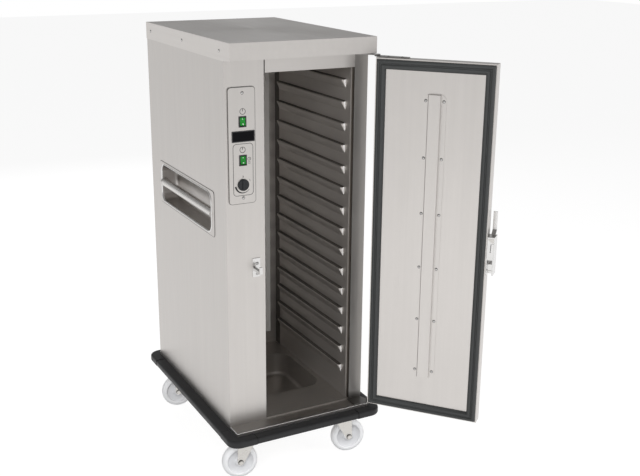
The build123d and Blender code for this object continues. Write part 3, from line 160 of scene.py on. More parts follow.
def moulded(name, colour, rough, grain=900.0, strength=0.15, spread=0.12, gloss=0.5):
    """Moulded plastic or rubber: fine texture, slight colour variation and handled gloss."""
    m, tree, bsdf = new_material(name)
    fine = noise(tree, coords(tree, (grain, grain, grain)), 1.0, 2.0, 0.5)
    broad = noise(tree, coords(tree, (14, 14, 14)), 1.0, 4.0, 0.6)
    tree.links.new(tint(tree, broad, shade(colour, 1 - spread), shade(colour, 1 + spread)),
                   bsdf.inputs["Base Color"])
    tree.links.new(remap(tree, broad, rough - 0.06, rough + 0.08), bsdf.inputs["Roughness"])
    bsdf.inputs["Specular IOR Level"].default_value = gloss
    bump(tree, bsdf, fine, strength, 0.0003)
    return m


def polished(name, colour, rough):
    """Polished or plated metal with fine wear and soft waviness."""
    m, tree, bsdf = new_material(name)
    wear = noise(tree, coords(tree, (35, 35, 35)), 1.0, 5.0, 0.65)
    tree.links.new(tint(tree, wear, shade(colour, 0.9), colour), bsdf.inputs["Base Color"])
    tree.links.new(remap(tree, wear, rough, rough + 0.12), bsdf.inputs["Roughness"])
    bsdf.inputs["Metallic"].default_value = 1.0
    bump(tree, bsdf, wear, 0.04, 0.0005)
    return m


STEEL = (0.64, 0.612, 0.588)
MAT = {
    "steel_v": brushed("steel_vertical_grain", STEEL, 0.36, "Z"),
    "steel_h": brushed("steel_level_grain", STEEL, 0.36, "X"),
    "hood": brushed("steel_hood", shade(STEEL, 1.04), 0.34, "Y"),
    # Painted shade: a darker copy of the steel for the left side's outer face and the handle plate on
    # it.
    "side": brushed("steel_side_painted_shade", shade(STEEL, 0.93), 0.36, "Z"),
    # Painted light: a lighter copy of the steel for the door, standing for the brighter light its faces
    # catch.
    "door": brushed("steel_door_painted_light", shade(STEEL, 1.04), 0.34, "Z"),
    "liner": brushed("steel_liner", (0.54, 0.505, 0.475), 0.38, "Y", metallic=0.80, cloud=0.06),
    "liner_floor": brushed("steel_liner_floor", (0.52, 0.49, 0.46), 0.34, "X", metallic=0.88,
                           cloud=0.06),
    # Painted light: a near-white, mostly diffuse copy of the liner steel for the rear duct panel,
    # standing for the brighter light on the back wall.
    "rear": brushed("steel_rear_painted_light", (0.88, 0.86, 0.83), 0.42, "Z", metallic=0.10, cloud=0.05),
    # Painted shade: a darker steel for the right post's front face, standing for its reflection of the
    # open door.
    "jamb_painted_shade": brushed("steel_jamb_painted_shade", (0.40, 0.385, 0.37), 0.34, "Z", cloud=0.05),
    # Painted shade: the hinge parts take a darker steel, standing for the shade on their undersides.
    "hinge": polished("hinge_steel_painted_shade", (0.30, 0.29, 0.28), 0.28),
    # Painted shadow: near-black steel for the rib tops and the wall's rear strip behind the ribs, where
    # shade falls.
    "deep": brushed("steel_painted_rib_shadow", (0.10, 0.09, 0.08), 0.42, "Y", metallic=0.6, cloud=0.06),
    # Painted shade: near-black steel for the folded returns inside the opening.
    "return": brushed("steel_return_painted_shade", (0.13, 0.115, 0.10), 0.40, "Z", cloud=0.08),
    # Painted highlight: near-white steel for the rib end caps and the tray's rim, standing for the
    # bright reflections they catch.
    "painted_highlight": brushed("steel_painted_highlight", (0.92, 0.91, 0.90), 0.40, "Z", metallic=0.15, cloud=0.03),
    # Painted shadow: dark steel for shadow lines in a groove and round the plates.
    "seam": brushed("steel_painted_shadow_line", (0.15, 0.145, 0.14), 0.40, "Z", cloud=0.04),
    "bar": brushed("steel_bar", (0.66, 0.64, 0.62), 0.26, "Y", cloud=0.04),
    "bright": polished("bright_steel", (0.72, 0.71, 0.70), 0.14),
    "zinc": polished("zinc_steel", (0.66, 0.64, 0.61), 0.24),
    # Dark steel for the axle washers, and painted shade in the screw recesses, screw seats and the
    # latch slot.
    "dark_steel_and_painted_shade": polished("dark_steel_and_painted_shade", (0.10, 0.10, 0.10), 0.35),
    "bumper": moulded("bumper_plastic", (0.022, 0.022, 0.023), 0.44, 500.0, 0.2, gloss=0.3),
    # Painted shadow: near-black filler for the bumper's joint grooves.
    "gap": moulded("joint_painted_shadow", (0.006, 0.006, 0.006), 0.6, 500.0, 0.05, gloss=0.1),
    "gasket": moulded("gasket_rubber", (0.040, 0.042, 0.042), 0.50, 700.0, 0.12),
    "black": moulded("black_plastic", (0.016, 0.016, 0.017), 0.32, 900.0, 0.08),
    "glass": moulded("display_window", (0.005, 0.005, 0.006), 0.12, 300.0, 0.01, gloss=0.05),
    "green": moulded("green_plastic", (0.010, 0.19, 0.020), 0.30, 500.0, 0.03, gloss=0.25),
    "knob": moulded("knob_plastic", (0.018, 0.019, 0.021), 0.40, 900.0, 0.1, gloss=0.3),
    "tyre": moulded("white_tyre", (0.90, 0.905, 0.92), 0.42, 400.0, 0.06, 0.02, gloss=0.35),
    # Painted shade: the disc is a darker copy of the white tyre, standing for the shade in its recess.
    "disc": moulded("wheel_disc_painted_shade", (0.74, 0.745, 0.765), 0.40, 600.0, 0.04, 0.03, gloss=0.35),
    "insulation": moulded("mineral_wool", (0.58, 0.55, 0.42), 0.85, 260.0, 0.9, 0.2),
    "aluminium": polished("aluminium", (0.74, 0.74, 0.75), 0.3),
    "motor": moulded("motor_paint", (0.06, 0.06, 0.065), 0.45, 300.0, 0.15),
    "print": moulded("black_print", (0.018, 0.018, 0.020), 0.5, 900.0, 0.02, gloss=0.2),
    "white_mark": moulded("white_print", (0.80, 0.80, 0.80), 0.5, 900.0, 0.02),
}
SLOT_MATERIAL = {
    "steel_satin": "steel_v", "steel_liner": "liner", "steel_bright": "bright", "zinc_steel": "zinc",
    "bumper_plastic": "bumper", "gasket_rubber": "gasket", "black_plastic": "black",
    "green_plastic": "green", "wheel_white": "tyre", "insulation": "insulation",
    "aluminium": "aluminium", "motor_paint": "motor",
}
NODE_MATERIAL = {
    "top_hood": "hood", "header_panel": "steel_h", "base_tray": "steel_h", "door_shell": "door",
    "door_panel": "door", "door_strip": "door", "liner_rear": "liner", "duct_panel": "rear",
    "knob": "knob", "liner_floor": "liner_floor", "hinge_arms": "hinge", "hinge_bracket_top": "hinge",
    "hinge_bracket_bottom": "hinge",
}


def material_for(node_name):
    return NODE_MATERIAL.get(node_name, SLOT_MATERIAL[slot_of[node_name]])


for node_name, node in nodes.items():
    chosen = MAT[material_for(node_name)]
    if not node.data.materials:
        node.data.materials.append(chosen)
    for slot in node.material_slots:
        slot.material = chosen


# Mesh helpers.
def link(mesh, name):
    obj = bpy.data.objects.new(name, mesh)
    scene.collection.objects.link(obj)
    return obj


def finish_mesh(bm, name, matrix=None, angle=32.0):
    if matrix is not None:
        bm.transform(matrix)
    bmesh.ops.recalc_face_normals(bm, faces=bm.faces)
    for f in bm.faces:
        f.smooth = True
    mesh = bpy.data.meshes.new(name)
    bm.to_mesh(mesh)
    bm.free()
    mesh.set_sharp_from_angle(angle=math.radians(angle))
    piece = link(mesh, name)
    normals = piece.modifiers.new("flat_sheets", "WEIGHTED_NORMAL")
    normals.weight = 100
    normals.keep_sharp = True
    return piece


def bevel_sharp(bm, width, segments=2, angle=30.0):
    sharp = [e for e in bm.edges if len(e.link_faces) == 2
             and e.calc_face_angle(0) > math.radians(angle)]
    bmesh.ops.bevel(bm, geom=sharp, offset=width, segments=segments, profile=0.5,
                    affect="EDGES", clamp_overlap=True)


def softened(name, width):
    """Copy of a CAD node with its sharp edges rounded, standing for that node."""
    bm = bmesh.new()
    bm.from_mesh(nodes[name].data)
    bmesh.ops.remove_doubles(bm, verts=bm.verts, dist=2e-6)
    bmesh.ops.dissolve_limit(bm, angle_limit=math.radians(0.5), verts=bm.verts, edges=bm.edges)
    bevel_sharp(bm, width)
    piece = finish_mesh(bm, name + "_sheet", angle=40.0)
    place(piece, body_of[name], material_for(name), slot_of[name], name)


def place(obj, body, material, slot_name, *replaced):
    if isinstance(material, str):
        material = [material]
    if not obj.data.materials:
        for key in material:
            obj.data.materials.append(MAT[key])
    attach(obj, body)
    if replaced:
        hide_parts(*replaced)


def add_box(bm, lo, hi, width=0.0, index=0):
    """Box with rounded edges added to a bmesh."""
    part = bmesh.new()
    bmesh.ops.create_cube(part, size=1.0)
    for v in part.verts:
        v.co = Vector([(lo[i] + hi[i]) / 2 + v.co[i] * (hi[i] - lo[i]) for i in range(3)])
    if width:
        bmesh.ops.bevel(part, geom=list(part.edges), offset=width, segments=2, profile=0.5,
                        affect="EDGES", clamp_overlap=True)
    merge(bm, part, index)


def merge(bm, part, index=0):
    mesh = bpy.data.meshes.new("part")
    for f in part.faces:
        f.material_index = max(index, f.material_index)
    part.to_mesh(mesh)
    part.free()
    bm.from_mesh(mesh)
    bpy.data.meshes.remove(mesh)


def add_lathe(bm, profile, centre, axis, steps=48, index=0):
    """Surface of revolution: profile of (distance along axis, radius) about a point."""
    part = bmesh.new()
    axis = Vector(axis).normalized()
    side = axis.orthogonal().normalized()
    other = axis.cross(side)
    rings = []
    for along, radius in profile:
        if radius < 1e-7:
            rings.append([part.verts.new(Vector(centre) + axis * along)])
            continue
        ring = []
        for i in range(steps):
            a = 2 * math.pi * i / steps
            offset = side * math.cos(a) + other * math.sin(a)
            ring.append(part.verts.new(Vector(centre) + axis * along + offset * radius))
        rings.append(ring)
    for a, b in zip(rings, rings[1:]):
        for i in range(steps):
            j = (i + 1) % steps
            if len(a) == 1 and len(b) > 1:
                part.faces.new((a[0], b[j], b[i]))
            elif len(b) == 1 and len(a) > 1:
                part.faces.new((a[i], a[j], b[0]))
            elif len(a) > 1 and len(b) > 1:
                part.faces.new((a[i], a[j], b[j], b[i]))
    merge(bm, part, index)


def arc(cx, cy, radius, start, end, steps):
    """Points on an arc, degrees."""
    out = []
    for i in range(steps + 1):
        a = math.radians(start + (end - start) * i / steps)
        out.append((cx + radius * math.cos(a), cy + radius * math.sin(a)))
    return out


def round_rect(cx, cy, w, h, r, steps=6):
    """Closed outline of a rectangle with rounded corners."""
    pts = []
    for sx, sy, start in ((1, 1, 0), (-1, 1, 90), (-1, -1, 180), (1, -1, 270)):
        pts += arc(cx + sx * (w / 2 - r), cy + sy * (h / 2 - r), r, start, start + 90, steps)
    return pts


def add_prism(bm, outline, place_point, depth0, depth1, width=0.0, index=0):
    """Outline swept between two depths; place_point maps (a, b, depth) to a position."""
    part = bmesh.new()
    low = [part.verts.new(place_point(a, b, depth0)) for a, b in outline]
    high = [part.verts.new(place_point(a, b, depth1)) for a, b in outline]
    count = len(outline)
    part.faces.new(low[::-1])
    part.faces.new(high)
    for i in range(count):
        j = (i + 1) % count
        part.faces.new((low[i], low[j], high[j], high[i]))
    bmesh.ops.recalc_face_normals(part, faces=part.faces)
    if width:
        bevel_sharp(part, width, 2, 35.0)
    merge(bm, part, index)


def add_band(bm, outer, inner, place_point, depth0, depth1, index=0, closed=True):
    """Flat ribbon between two outlines of equal length, with a little thickness."""
    part = bmesh.new()
    rows = [[part.verts.new(place_point(a, b, d)) for a, b in line]
            for line, d in ((outer, depth0), (outer, depth1), (inner, depth1), (inner, depth0))]
    count = len(outer)
    last = count if closed else count - 1
    for k in range(4):
        row, nxt = rows[k], rows[(k + 1) % 4]
        for i in range(last):
            j = (i + 1) % count
            part.faces.new((row[i], row[j], nxt[j], nxt[i]))
    if not closed:
        part.faces.new([rows[k][0] for k in range(4)][::-1])
        part.faces.new([rows[k][-1] for k in range(4)])
    bmesh.ops.recalc_face_normals(part, faces=part.faces)
    merge(bm, part, index)


def sweep_loop(bm, profile, outline_at):
    """Profile carried round a closed frame: outline_at(inset, depth) gives the corner points."""
    part = bmesh.new()
    rings = []
    for inset, depth in profile:
        rings.append([part.verts.new(p) for p in outline_at(inset, depth)])
    count = len(rings[0])
    for k in range(len(rings)):
        row, nxt = rings[k], rings[(k + 1) % len(rings)]
        for i in range(count):
            j = (i + 1) % count
            part.faces.new((row[i], row[j], nxt[j], nxt[i]))
    bmesh.ops.recalc_face_normals(part, faces=part.faces)
    merge(bm, part)


def front_point(y0):
    return lambda a, b, d: Vector((a, y0 - d, b))


def door_inner(a, b, d):
    """Point on the inner side of the door: u, z, and depth towards the inner side."""
    return DOOR @ Vector((a, -d, b))


# Sheet parts with rounded bends.
for sheet, width in (("top_hood", 0.0006), ("side_panel_left", 0.0005), ("side_panel_right", 0.0005),
                     ("header_panel", 0.0005), ("base_tray", 0.0008), ("back_panel", 0.0004),
                     ("door_shell", 0.0004), ("control_plate", 0.0008), ("duct_panel", 0.0004),
                     ("hinge_arms", 0.0006), ("hinge_bracket_top", 0.0008),
                     ("hinge_bracket_bottom", 0.0008), ("rocker_frames", 0.0010),
                     ("rocker_upper", 0.0007), ("rocker_lower", 0.0007), ("strike", 0.0012),
                     ("latch_body", 0.0016), ("latch_lever", 0.0016), ("caster_plates", 0.0006),
                     ("caster_fork_fl", 0.0007), ("caster_fork_fr", 0.0007),
                     ("caster_fork_rl", 0.0007), ("caster_fork_rr", 0.0007),
                     ("basin_cover", 0.0006), ("base_frame", 0.0008)):
    softened(sheet, width)

# Painted shade: the folded returns inside the opening take near-black steel, standing for their
# reflection of the dark cavity.
OPENING_X, OPENING_Y, OPENING_TOP_Z = (-0.1330, 0.2275), -0.3572, 1.5315
for sheet in ("side_panel_left", "side_panel_right", "header_panel"):
    mesh = bpy.data.objects[sheet + "_sheet"].data
    mesh.materials.append(MAT["return"])
    for face in mesh.polygons:
        c = face.center
        inside = OPENING_X[0] < c.x < OPENING_X[1] and c.y > OPENING_Y and c.z < OPENING_TOP_Z
        if inside and abs(face.normal.y) < 0.5:
            face.material_index = len(mesh.materials) - 1

# Painted shade and highlight: the right post's front face is painted darker for its reflection of the
# open door, the tray's rim is painted bright as a highlight, and the left side's outer face is painted
# a little darker than the front as shade.
for sheet, key in (("side_panel_right", "jamb_painted_shade"), ("base_tray", "painted_highlight"), ("side_panel_left", "side")):
    mesh = bpy.data.objects[sheet + "_sheet"].data
    mesh.materials.append(MAT[key])
    for face in mesh.polygons:
        n, c = face.normal, face.center
        post = sheet == "side_panel_right" and n.y < -0.9 and c.y < -0.355
        rim = sheet == "base_tray" and face.area < 2e-3 and c.z > 0.229 and (
            abs(c.x) > 0.2755 or abs(c.y) > 0.4175)
        flank = sheet == "side_panel_left" and n.x < -0.9 and c.x < -0.27
        if post or rim or flank:
            face.material_index = len(mesh.materials) - 1

# Painted shadow: dark filler in the groove between the header and the column, standing for the shade in
# it.
bm = bmesh.new()
add_box(bm, (-0.1313, -0.3562, OPENING_TOP_Z), (-0.1272, -0.3550, 1.5830), 0.0004)
place(finish_mesh(bm, "header_painted_shadow_line"), "cabinet", "seam", "steel_satin")


# Runner walls: flat sheet with pressed ribs, cut square in front and slanted behind.
RIB_FRONT_Y, RIB_REAR_Y = -0.3065, 0.243
RIB_COUNT, RIB_PITCH, RIB_TOP_Z = 15, 0.08, 1.482
RIB_MIDDLE_MM = -16.0


def runner_wall(name, inner_x, side):
    bm = bmesh.new()
    lo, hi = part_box(name)
    out_x = inner_x + side * SHEET
    add_box(bm, (min(inner_x, out_x), lo.y, lo.z), (max(inner_x, out_x), RIB_REAR_Y, hi.z))
    # Painted shadow: the wall's rear strip behind the ribs takes the near-black steel.
    add_box(bm, (min(inner_x, out_x), RIB_REAR_Y, lo.z), (max(inner_x, out_x), hi.y, hi.z), index=2)
    flange = hi.x if side > 0 else lo.x
    add_box(bm, (min(inner_x, flange), lo.y, lo.z), (max(inner_x, flange), lo.y + SHEET, hi.z - 0.006),
            0.0003)
    profile = [(-0.4, 3.0), (0.6, 1.2), (3.0, 0.2), (10.5, 0.0), (13.2, -0.6), (14.7, -2.2),
               (15.0, -4.4), (13.9, -7.6), (9.0, -16.6), (4.2, -25.6), (1.6, -30.2), (0.3, -33.0),
               (-0.4, -35.0)]
    y0, y1, taper = RIB_FRONT_Y, RIB_REAR_Y, 0.009
    stations = []
    for k in range(5):
        t = k / 4
        stations.append((y0 + taper * t, 0.50 + 0.50 * math.sqrt(1 - (1 - t) ** 2)))
    for k in range(5):
        t = 1 - k / 4
        stations.append((y1 - 2 * taper * t, 0.55 + 0.45 * math.sqrt(1 - (1 - t) ** 2)))
    for level in range(RIB_COUNT):
        top = RIB_TOP_Z - RIB_PITCH * level
        part = bmesh.new()
        rings = []
        for y, s in stations:
            ring = []
            for out, up in profile:
                z = RIB_MIDDLE_MM + (up - RIB_MIDDLE_MM) * (0.80 + 0.20 * s)
                ring.append(part.verts.new((inner_x - side * max(out * s, -0.4) * MM, y,
                                            top + z * MM)))
            rings.append(ring)
        for a, b in zip(rings, rings[1:]):
            for i in range(len(profile) - 1):
                face = part.faces.new((a[i], a[i + 1], b[i + 1], b[i]))
                # Painted shadow: each rib's top shelf takes the near-black steel.
                face.material_index = 2 if profile[i + 1][1] >= -0.6 else 0
        # Painted highlight: each rib's front end cap takes the near-white steel.
        part.faces.new(rings[0][::-1]).material_index = 1
        part.faces.new(rings[-1])
        back = [r[0] for r in rings] + [r[-1] for r in reversed(rings)]
        part.faces.new(back)
        bmesh.ops.recalc_face_normals(part, faces=part.faces)
        merge(bm, part)
    piece = finish_mesh(bm, name + "_pressed", angle=50.0)
    place(piece, "cabinet", ["liner", "painted_highlight", "deep"], "steel_liner", name)


runner_wall("runner_wall_left", -0.125, -1)
runner_wall("runner_wall_right", 0.218, 1)


# Door gasket: two soft ridges with a groove between them, mitred at the corners.
def door_frame(u0, u1, z0, z1):
    def at(inset, depth):
        return [door_inner(a, b, depth) for a, b in
                ((u0 + inset, z0 + inset), (u1 - inset, z0 + inset), (u1 - inset, z1 - inset),
                 (u0 + inset, z1 - inset))]
    return at


GASKET = (0.0129, 0.4323, 0.2509, 1.5681)
gasket_profile = [(0.0, 0.0395), (0.0, 0.0440), (0.0012, 0.0470), (0.0045, 0.0505), (0.0080, 0.0514),
                  (0.0112, 0.0500), (0.0128, 0.0468), (0.0140, 0.0452), (0.0162, 0.0450),
                  (0.0176, 0.0468), (0.0192, 0.0500), (0.0225, 0.0514), (0.0262, 0.0506),
                  (0.0300, 0.0474), (0.0328, 0.0430), (0.0340, 0.0398), (0.0340, 0.0395)]
bm = bmesh.new()
sweep_loop(bm, gasket_profile, door_frame(*GASKET))
place(finish_mesh(bm, "door_gasket_soft", angle=60.0), "door", "gasket", "gasket_rubber",
      "door_gasket")

# Hat-section strip on the door's inner panel.
STRIP_U, STRIP_Z0, STRIP_Z1 = 0.226, 0.398, 1.457
bm = bmesh.new()
half, flange = 0.0225, 0.019
hat = [(-half - flange, 0.0395), (-half - flange, 0.0407), (-half - 0.0015, 0.0407),
       (-half, 0.0422), (-half, 0.0490), (-half + 0.0025, 0.0515), (half - 0.0025, 0.0515),
       (half, 0.0490), (half, 0.0422), (half + 0.0015, 0.0407), (half + flange, 0.0407),
       (half + flange, 0.0395)]
part = bmesh.new()
ends = []
for z, cut in ((STRIP_Z0, 0.0), (STRIP_Z0 + 0.012, 1.0), (STRIP_Z1 - 0.012, 1.0), (STRIP_Z1, 0.0)):
    row = []
    for u, d in hat:
        reach = half + flange * (0.35 + 0.65 * cut)
        row.append(part.verts.new(door_inner(STRIP_U + max(-reach, min(reach, u)), z, d)))
    ends.append(row)
for a, b in zip(ends, ends[1:]):
    for i in range(len(hat)):
        j = (i + 1) % len(hat)
        part.faces.new((a[i], a[j], b[j], b[i]))
part.faces.new(ends[0][::-1])
part.faces.new(ends[-1])
bmesh.ops.recalc_face_normals(part, faces=part.faces)
merge(bm, part)
place(finish_mesh(bm, "door_strip_hat", angle=30.0), "door", "door", "steel_satin", "door_strip")

# Wheels: rounded tread, recessed disc painted grey as shade of its recess, hub.
WHEEL_HALF = [(0.0180, 0.0062), (0.0180, 0.0150), (0.0172, 0.0185), (0.0150, 0.0205),
              (0.0118, 0.0225), (0.0106, 0.0290), (0.0104, 0.0370), (0.0112, 0.0440),
              (0.0132, 0.0478), (0.0166, 0.0492)]
TREAD_HALF = [(0.0166, 0.0492), (0.0178, 0.0505), (0.0180, 0.0540), (0.0172, 0.0590),
              (0.0152, 0.0632), (0.0120, 0.0661), (0.0080, 0.0674), (0.0040, 0.0679)]
WHEEL_STEPS = 72
for name, (sx, sy, angle) in CASTERS.items():
    spin = turn_z(sx, sy, angle)
    bm = bmesh.new()
    centre = (TRAIL, 0, WHEEL_Z)
    tread = TREAD_HALF + [(-a, r) for a, r in reversed(TREAD_HALF)]
    add_lathe(bm, tread, centre, (0, 1, 0), WHEEL_STEPS, 0)
    for way in (1, -1):
        add_lathe(bm, [(way * a, r) for a, r in WHEEL_HALF], centre, (0, 1, 0), WHEEL_STEPS, 1)
    bore = [(0.0180, 0.0062), (-0.0180, 0.0062)]
    add_lathe(bm, bore, centre, (0, 1, 0), WHEEL_STEPS, 1)
    bmesh.ops.remove_doubles(bm, verts=bm.verts, dist=1e-6)
    piece = finish_mesh(bm, f"caster_tyre_{name}", spin, 40.0)
    place(piece, f"caster_wheel_{name}", ["tyre", "disc"], "wheel_white", f"caster_wheel_{name}")

# Printed marks on the control plate: symbols, outline and knob scale.
PRINT_T = 0.00025
KNOB_Z = 1.1505
at_plate = front_point(PLATE_Y)
bm = bmesh.new()


def stroke(cx, cz, radius, start, end, width0, width1=None, steps=40):
    """Arc drawn with a pen whose width may change along it."""
    width1 = width0 if width1 is None else width1
    outer, inner = [], []
    for i in range(steps + 1):
        t = i / steps
        a = math.radians(start + (end - start) * t)
        w = (width0 + (width1 - width0) * t) / 2
        outer.append((cx + (radius + w) * math.cos(a), cz + (radius + w) * math.sin(a)))
        inner.append((cx + (radius - w) * math.cos(a), cz + (radius - w) * math.sin(a)))
    add_band(bm, outer, inner, at_plate, 0.0, PRINT_T, closed=False)


def bar_mark(x0, z0, x1, z1, width):
    d = Vector((x1 - x0, z1 - z0)).normalized()
    n = Vector((-d.y, d.x)) * width / 2
    add_prism(bm, [(x0 + n.x, z0 + n.y), (x0 - n.x, z0 - n.y), (x1 - n.x, z1 - n.y),
                   (x1 + n.x, z1 + n.y)], at_plate, 0.0, PRINT_T)


for cx, cz in ((-0.2125, 1.4060), (-0.2146, 1.2740)):
    stroke(cx, cz, 0.0100, 104, 436, 0.0017)
    bar_mark(cx, cz + 0.0005, cx, cz + 0.0112, 0.0020)
add_band(bm, round_rect(-0.213, 1.2038, 0.0756, 0.1836, 0.0128),
         round_rect(-0.213, 1.2038, 0.0724, 0.1804, 0.0112), at_plate, 0.0, PRINT_T)
stroke(-0.1900, 1.2405, 0.0054, 0, 360, 0.0014)
stroke(-0.1900, 1.2270, 0.0038, 20, 160, 0.0014)
bar_mark(-0.1945, 1.2250, -0.1855, 1.2250, 0.0013)
bar_mark(-0.1900, 1.2375, -0.1900, 1.2435, 0.0012)
SCALE_X = -0.2140
stroke(SCALE_X, KNOB_Z, 0.0285, 188, 322, 0.0066, 0.0010)
bar_mark(SCALE_X, 1.1760, SCALE_X, 1.1830, 0.0022)
stroke(SCALE_X, KNOB_Z, 0.0290, 22, 42, 0.0010)
place(finish_mesh(bm, "panel_print"), "cabinet", "print", "black_plastic")

# Painted shadow: dark outline round the control plate, standing for the shadow line at its edge.
bm = bmesh.new()
add_band(bm, round_rect(-0.217, 1.2865, 0.1020, 0.4070, 0.012),
         round_rect(-0.2165, 1.2858, 0.0985, 0.4030, 0.0105), at_plate, -0.0012, 0.0003)
place(finish_mesh(bm, "plate_painted_shadow_border"), "cabinet", "seam", "steel_satin")

# Display window: black bezel and a recessed glossy pane.
bm = bmesh.new()
cx, cz = -0.2115, 1.3205
add_prism(bm, round_rect(cx, cz, 0.0850, 0.0385, 0.0022), at_plate, 0.0, 0.0010, 0.0003, 0)
add_band(bm, round_rect(cx, cz, 0.0850, 0.0385, 0.0022), round_rect(cx, cz, 0.0786, 0.0321, 0.0012),
         at_plate, 0.0008, 0.0015, 0)
add_prism(bm, round_rect(cx, cz, 0.0784, 0.0319, 0.0011), at_plate, 0.0009, 0.0011, 0.0, 1)
add_box(bm, (cx - 0.039, PLATE_Y, cz - 0.016), (cx + 0.039, -0.300, cz + 0.016), 0.001)
place(finish_mesh(bm, "display_window"), "cabinet", ["black", "glass"], "black_plastic",
      "display_unit")


# Marks on the two rockers, laid out in millimetres: a bar on one half and a ring on the other.
def rocker_marks(body, rocker_z):
    bm = bmesh.new()
    turn = math.radians(8.0)

    def at(a, b, d):
        out = (5.45 + max(0.0, abs(b) - 5.0) * 1.5 / 8.4) * MM + d
        lift = b * MM
        return Vector((PANEL_X + a, COLUMN_Y - out * math.cos(turn) + lift * math.sin(turn),
                       rocker_z + lift * math.cos(turn) + out * math.sin(turn)))
    add_prism(bm, [(-0.0006, 7.0), (0.0006, 7.0), (0.0006, 11.0), (-0.0006, 11.0)], at, 0.0, 0.0002)
    ring_out = [(x, -8.8 + z * 1000) for x, z in arc(0, 0, 0.0024, 0, 345, 23)]
    ring_in = [(x, -8.8 + z * 1000) for x, z in arc(0, 0, 0.0014, 0, 345, 23)]
    add_band(bm, ring_out, ring_in, at, 0.0, 0.0002)
    place(finish_mesh(bm, body + "_marks"), body, "white_mark", "green_plastic")


rocker_marks("rocker_upper", 1.371)
rocker_marks("rocker_lower", 1.237)

# Thermostat knob: skirt, raised grip and spindle.
bm = bmesh.new()
centre = (PANEL_X, -0.3616, KNOB_Z)
add_lathe(bm, [(0.0, 0.0), (0.0, 0.0200), (0.0008, 0.0209), (0.0030, 0.0209), (0.0044, 0.0201),
               (0.0051, 0.0186), (0.0053, 0.0150), (0.0051, 0.0)], centre, (0, -1, 0), 64)
add_prism(bm, round_rect(centre[0], centre[2], 0.0098, 0.0386, 0.0046, 8), front_point(centre[1]),
          0.0045, 0.0090, 0.0014)
add_lathe(bm, [(-0.014, 0.0), (-0.014, 0.003), (0.001, 0.003)], centre, (0, -1, 0), 24)
place(finish_mesh(bm, "knob_turned"), "knob", "knob", "black_plastic", "knob")

# Push handle: plate with a rolled opening and a deep dish behind the bar.
bm = bmesh.new()
PLATE_AT, DISH_AT = (0.031, 1.022), (0.037, 1.021)
loops = [(0.562, 0.168, 0.012, -0.2785, 0), (0.562, 0.168, 0.012, -0.2797, 0),
         (0.5612, 0.1672, 0.0116, -0.2800, 0), (0.530, 0.158, 0.0400, -0.2800, 1),
         (0.5280, 0.1560, 0.0390, -0.2814, 1), (0.5235, 0.1515, 0.0368, -0.2822, 1),
         (0.5195, 0.1475, 0.0348, -0.2814, 1), (0.5172, 0.1452, 0.0336, -0.2794, 1),
         (0.5160, 0.1440, 0.0330, -0.2760, 1), (0.5150, 0.1430, 0.0325, -0.2320, 1),
         (0.5135, 0.1415, 0.0320, -0.2255, 1), (0.5085, 0.1365, 0.0300, -0.2195, 1),
         (0.5000, 0.1280, 0.0270, -0.2158, 1), (0.4890, 0.1170, 0.0230, -0.2147, 1)]
rings = []
for w, h, r, x, inner in loops:
    cy, cz = DISH_AT if inner else PLATE_AT
    rings.append([bm.verts.new((x, y, z)) for y, z in round_rect(cy, cz, w, h, r, 10)])
for k, (a, b) in enumerate(zip(rings, rings[1:])):
    for i in range(len(a)):
        j = (i + 1) % len(a)
        bm.faces.new((a[i], a[j], b[j], b[i])).material_index = 1 if 3 <= k <= 7 else 0
bm.faces.new(rings[-1])
# The handle plate takes the darker side steel (painted shade); the rolled opening takes bright steel.
place(finish_mesh(bm, "handle_dish_pressed", angle=40.0), "cabinet", ["side", "bright"],
      "steel_satin", "handle_dish")
bm = bmesh.new()
add_lathe(bm, [(-0.2586, 0.0), (-0.2586, 0.0186), (-0.2574, 0.0182), (-0.2556, 0.0164),
               (-0.2540, 0.0160), (0.2540, 0.0160), (0.2556, 0.0164), (0.2574, 0.0182),
               (0.2586, 0.0186), (0.2586, 0.0)], (-0.268, 0.037, 1.018), (0, 1, 0), 48)
place(finish_mesh(bm, "handle_bar_turned"), "cabinet", "bar", "steel_bright", "handle_bar")


# Painted shadow: dark band round the handle plate, standing for the shadow line at its edge.
bm = bmesh.new()
add_band(bm, round_rect(*PLATE_AT, 0.5660, 0.1720, 0.014),
         round_rect(*PLATE_AT, 0.5610, 0.1670, 0.012),
         lambda a, b, d: Vector((-0.2785 - d, a, b)), -0.0002, 0.0007)
place(finish_mesh(bm, "handle_painted_shadow_line"), "cabinet", "seam", "steel_satin")


# Domed screw heads; the dark hexagon recess and the dark ring where each one seats are painted shade.
def screw_heads(name, body, heads, replaced):
    bm = bmesh.new()
    for seat, axis in heads:
        add_lathe(bm, [(0.0, 0.0042), (0.0006, 0.0043), (0.0014, 0.0038), (0.0020, 0.0026),
                       (0.00218, 0.0018), (0.0016, 0.0017), (0.0016, 0.0)], seat, axis, 24)
        add_lathe(bm, [(0.00165, 0.0), (0.00165, 0.0011)], seat, axis, 6, 1)
        add_lathe(bm, [(0.0, 0.0042), (0.0004, 0.0043), (0.0004, 0.0054), (0.0, 0.0056)], seat, axis,
                  24, 1)
        add_lathe(bm, [(-0.008, 0.0), (-0.008, 0.0019), (0.0, 0.0020)], seat, axis, 16)
    place(finish_mesh(bm, name), body, ["bright", "dark_steel_and_painted_shade"], "steel_bright", replaced)


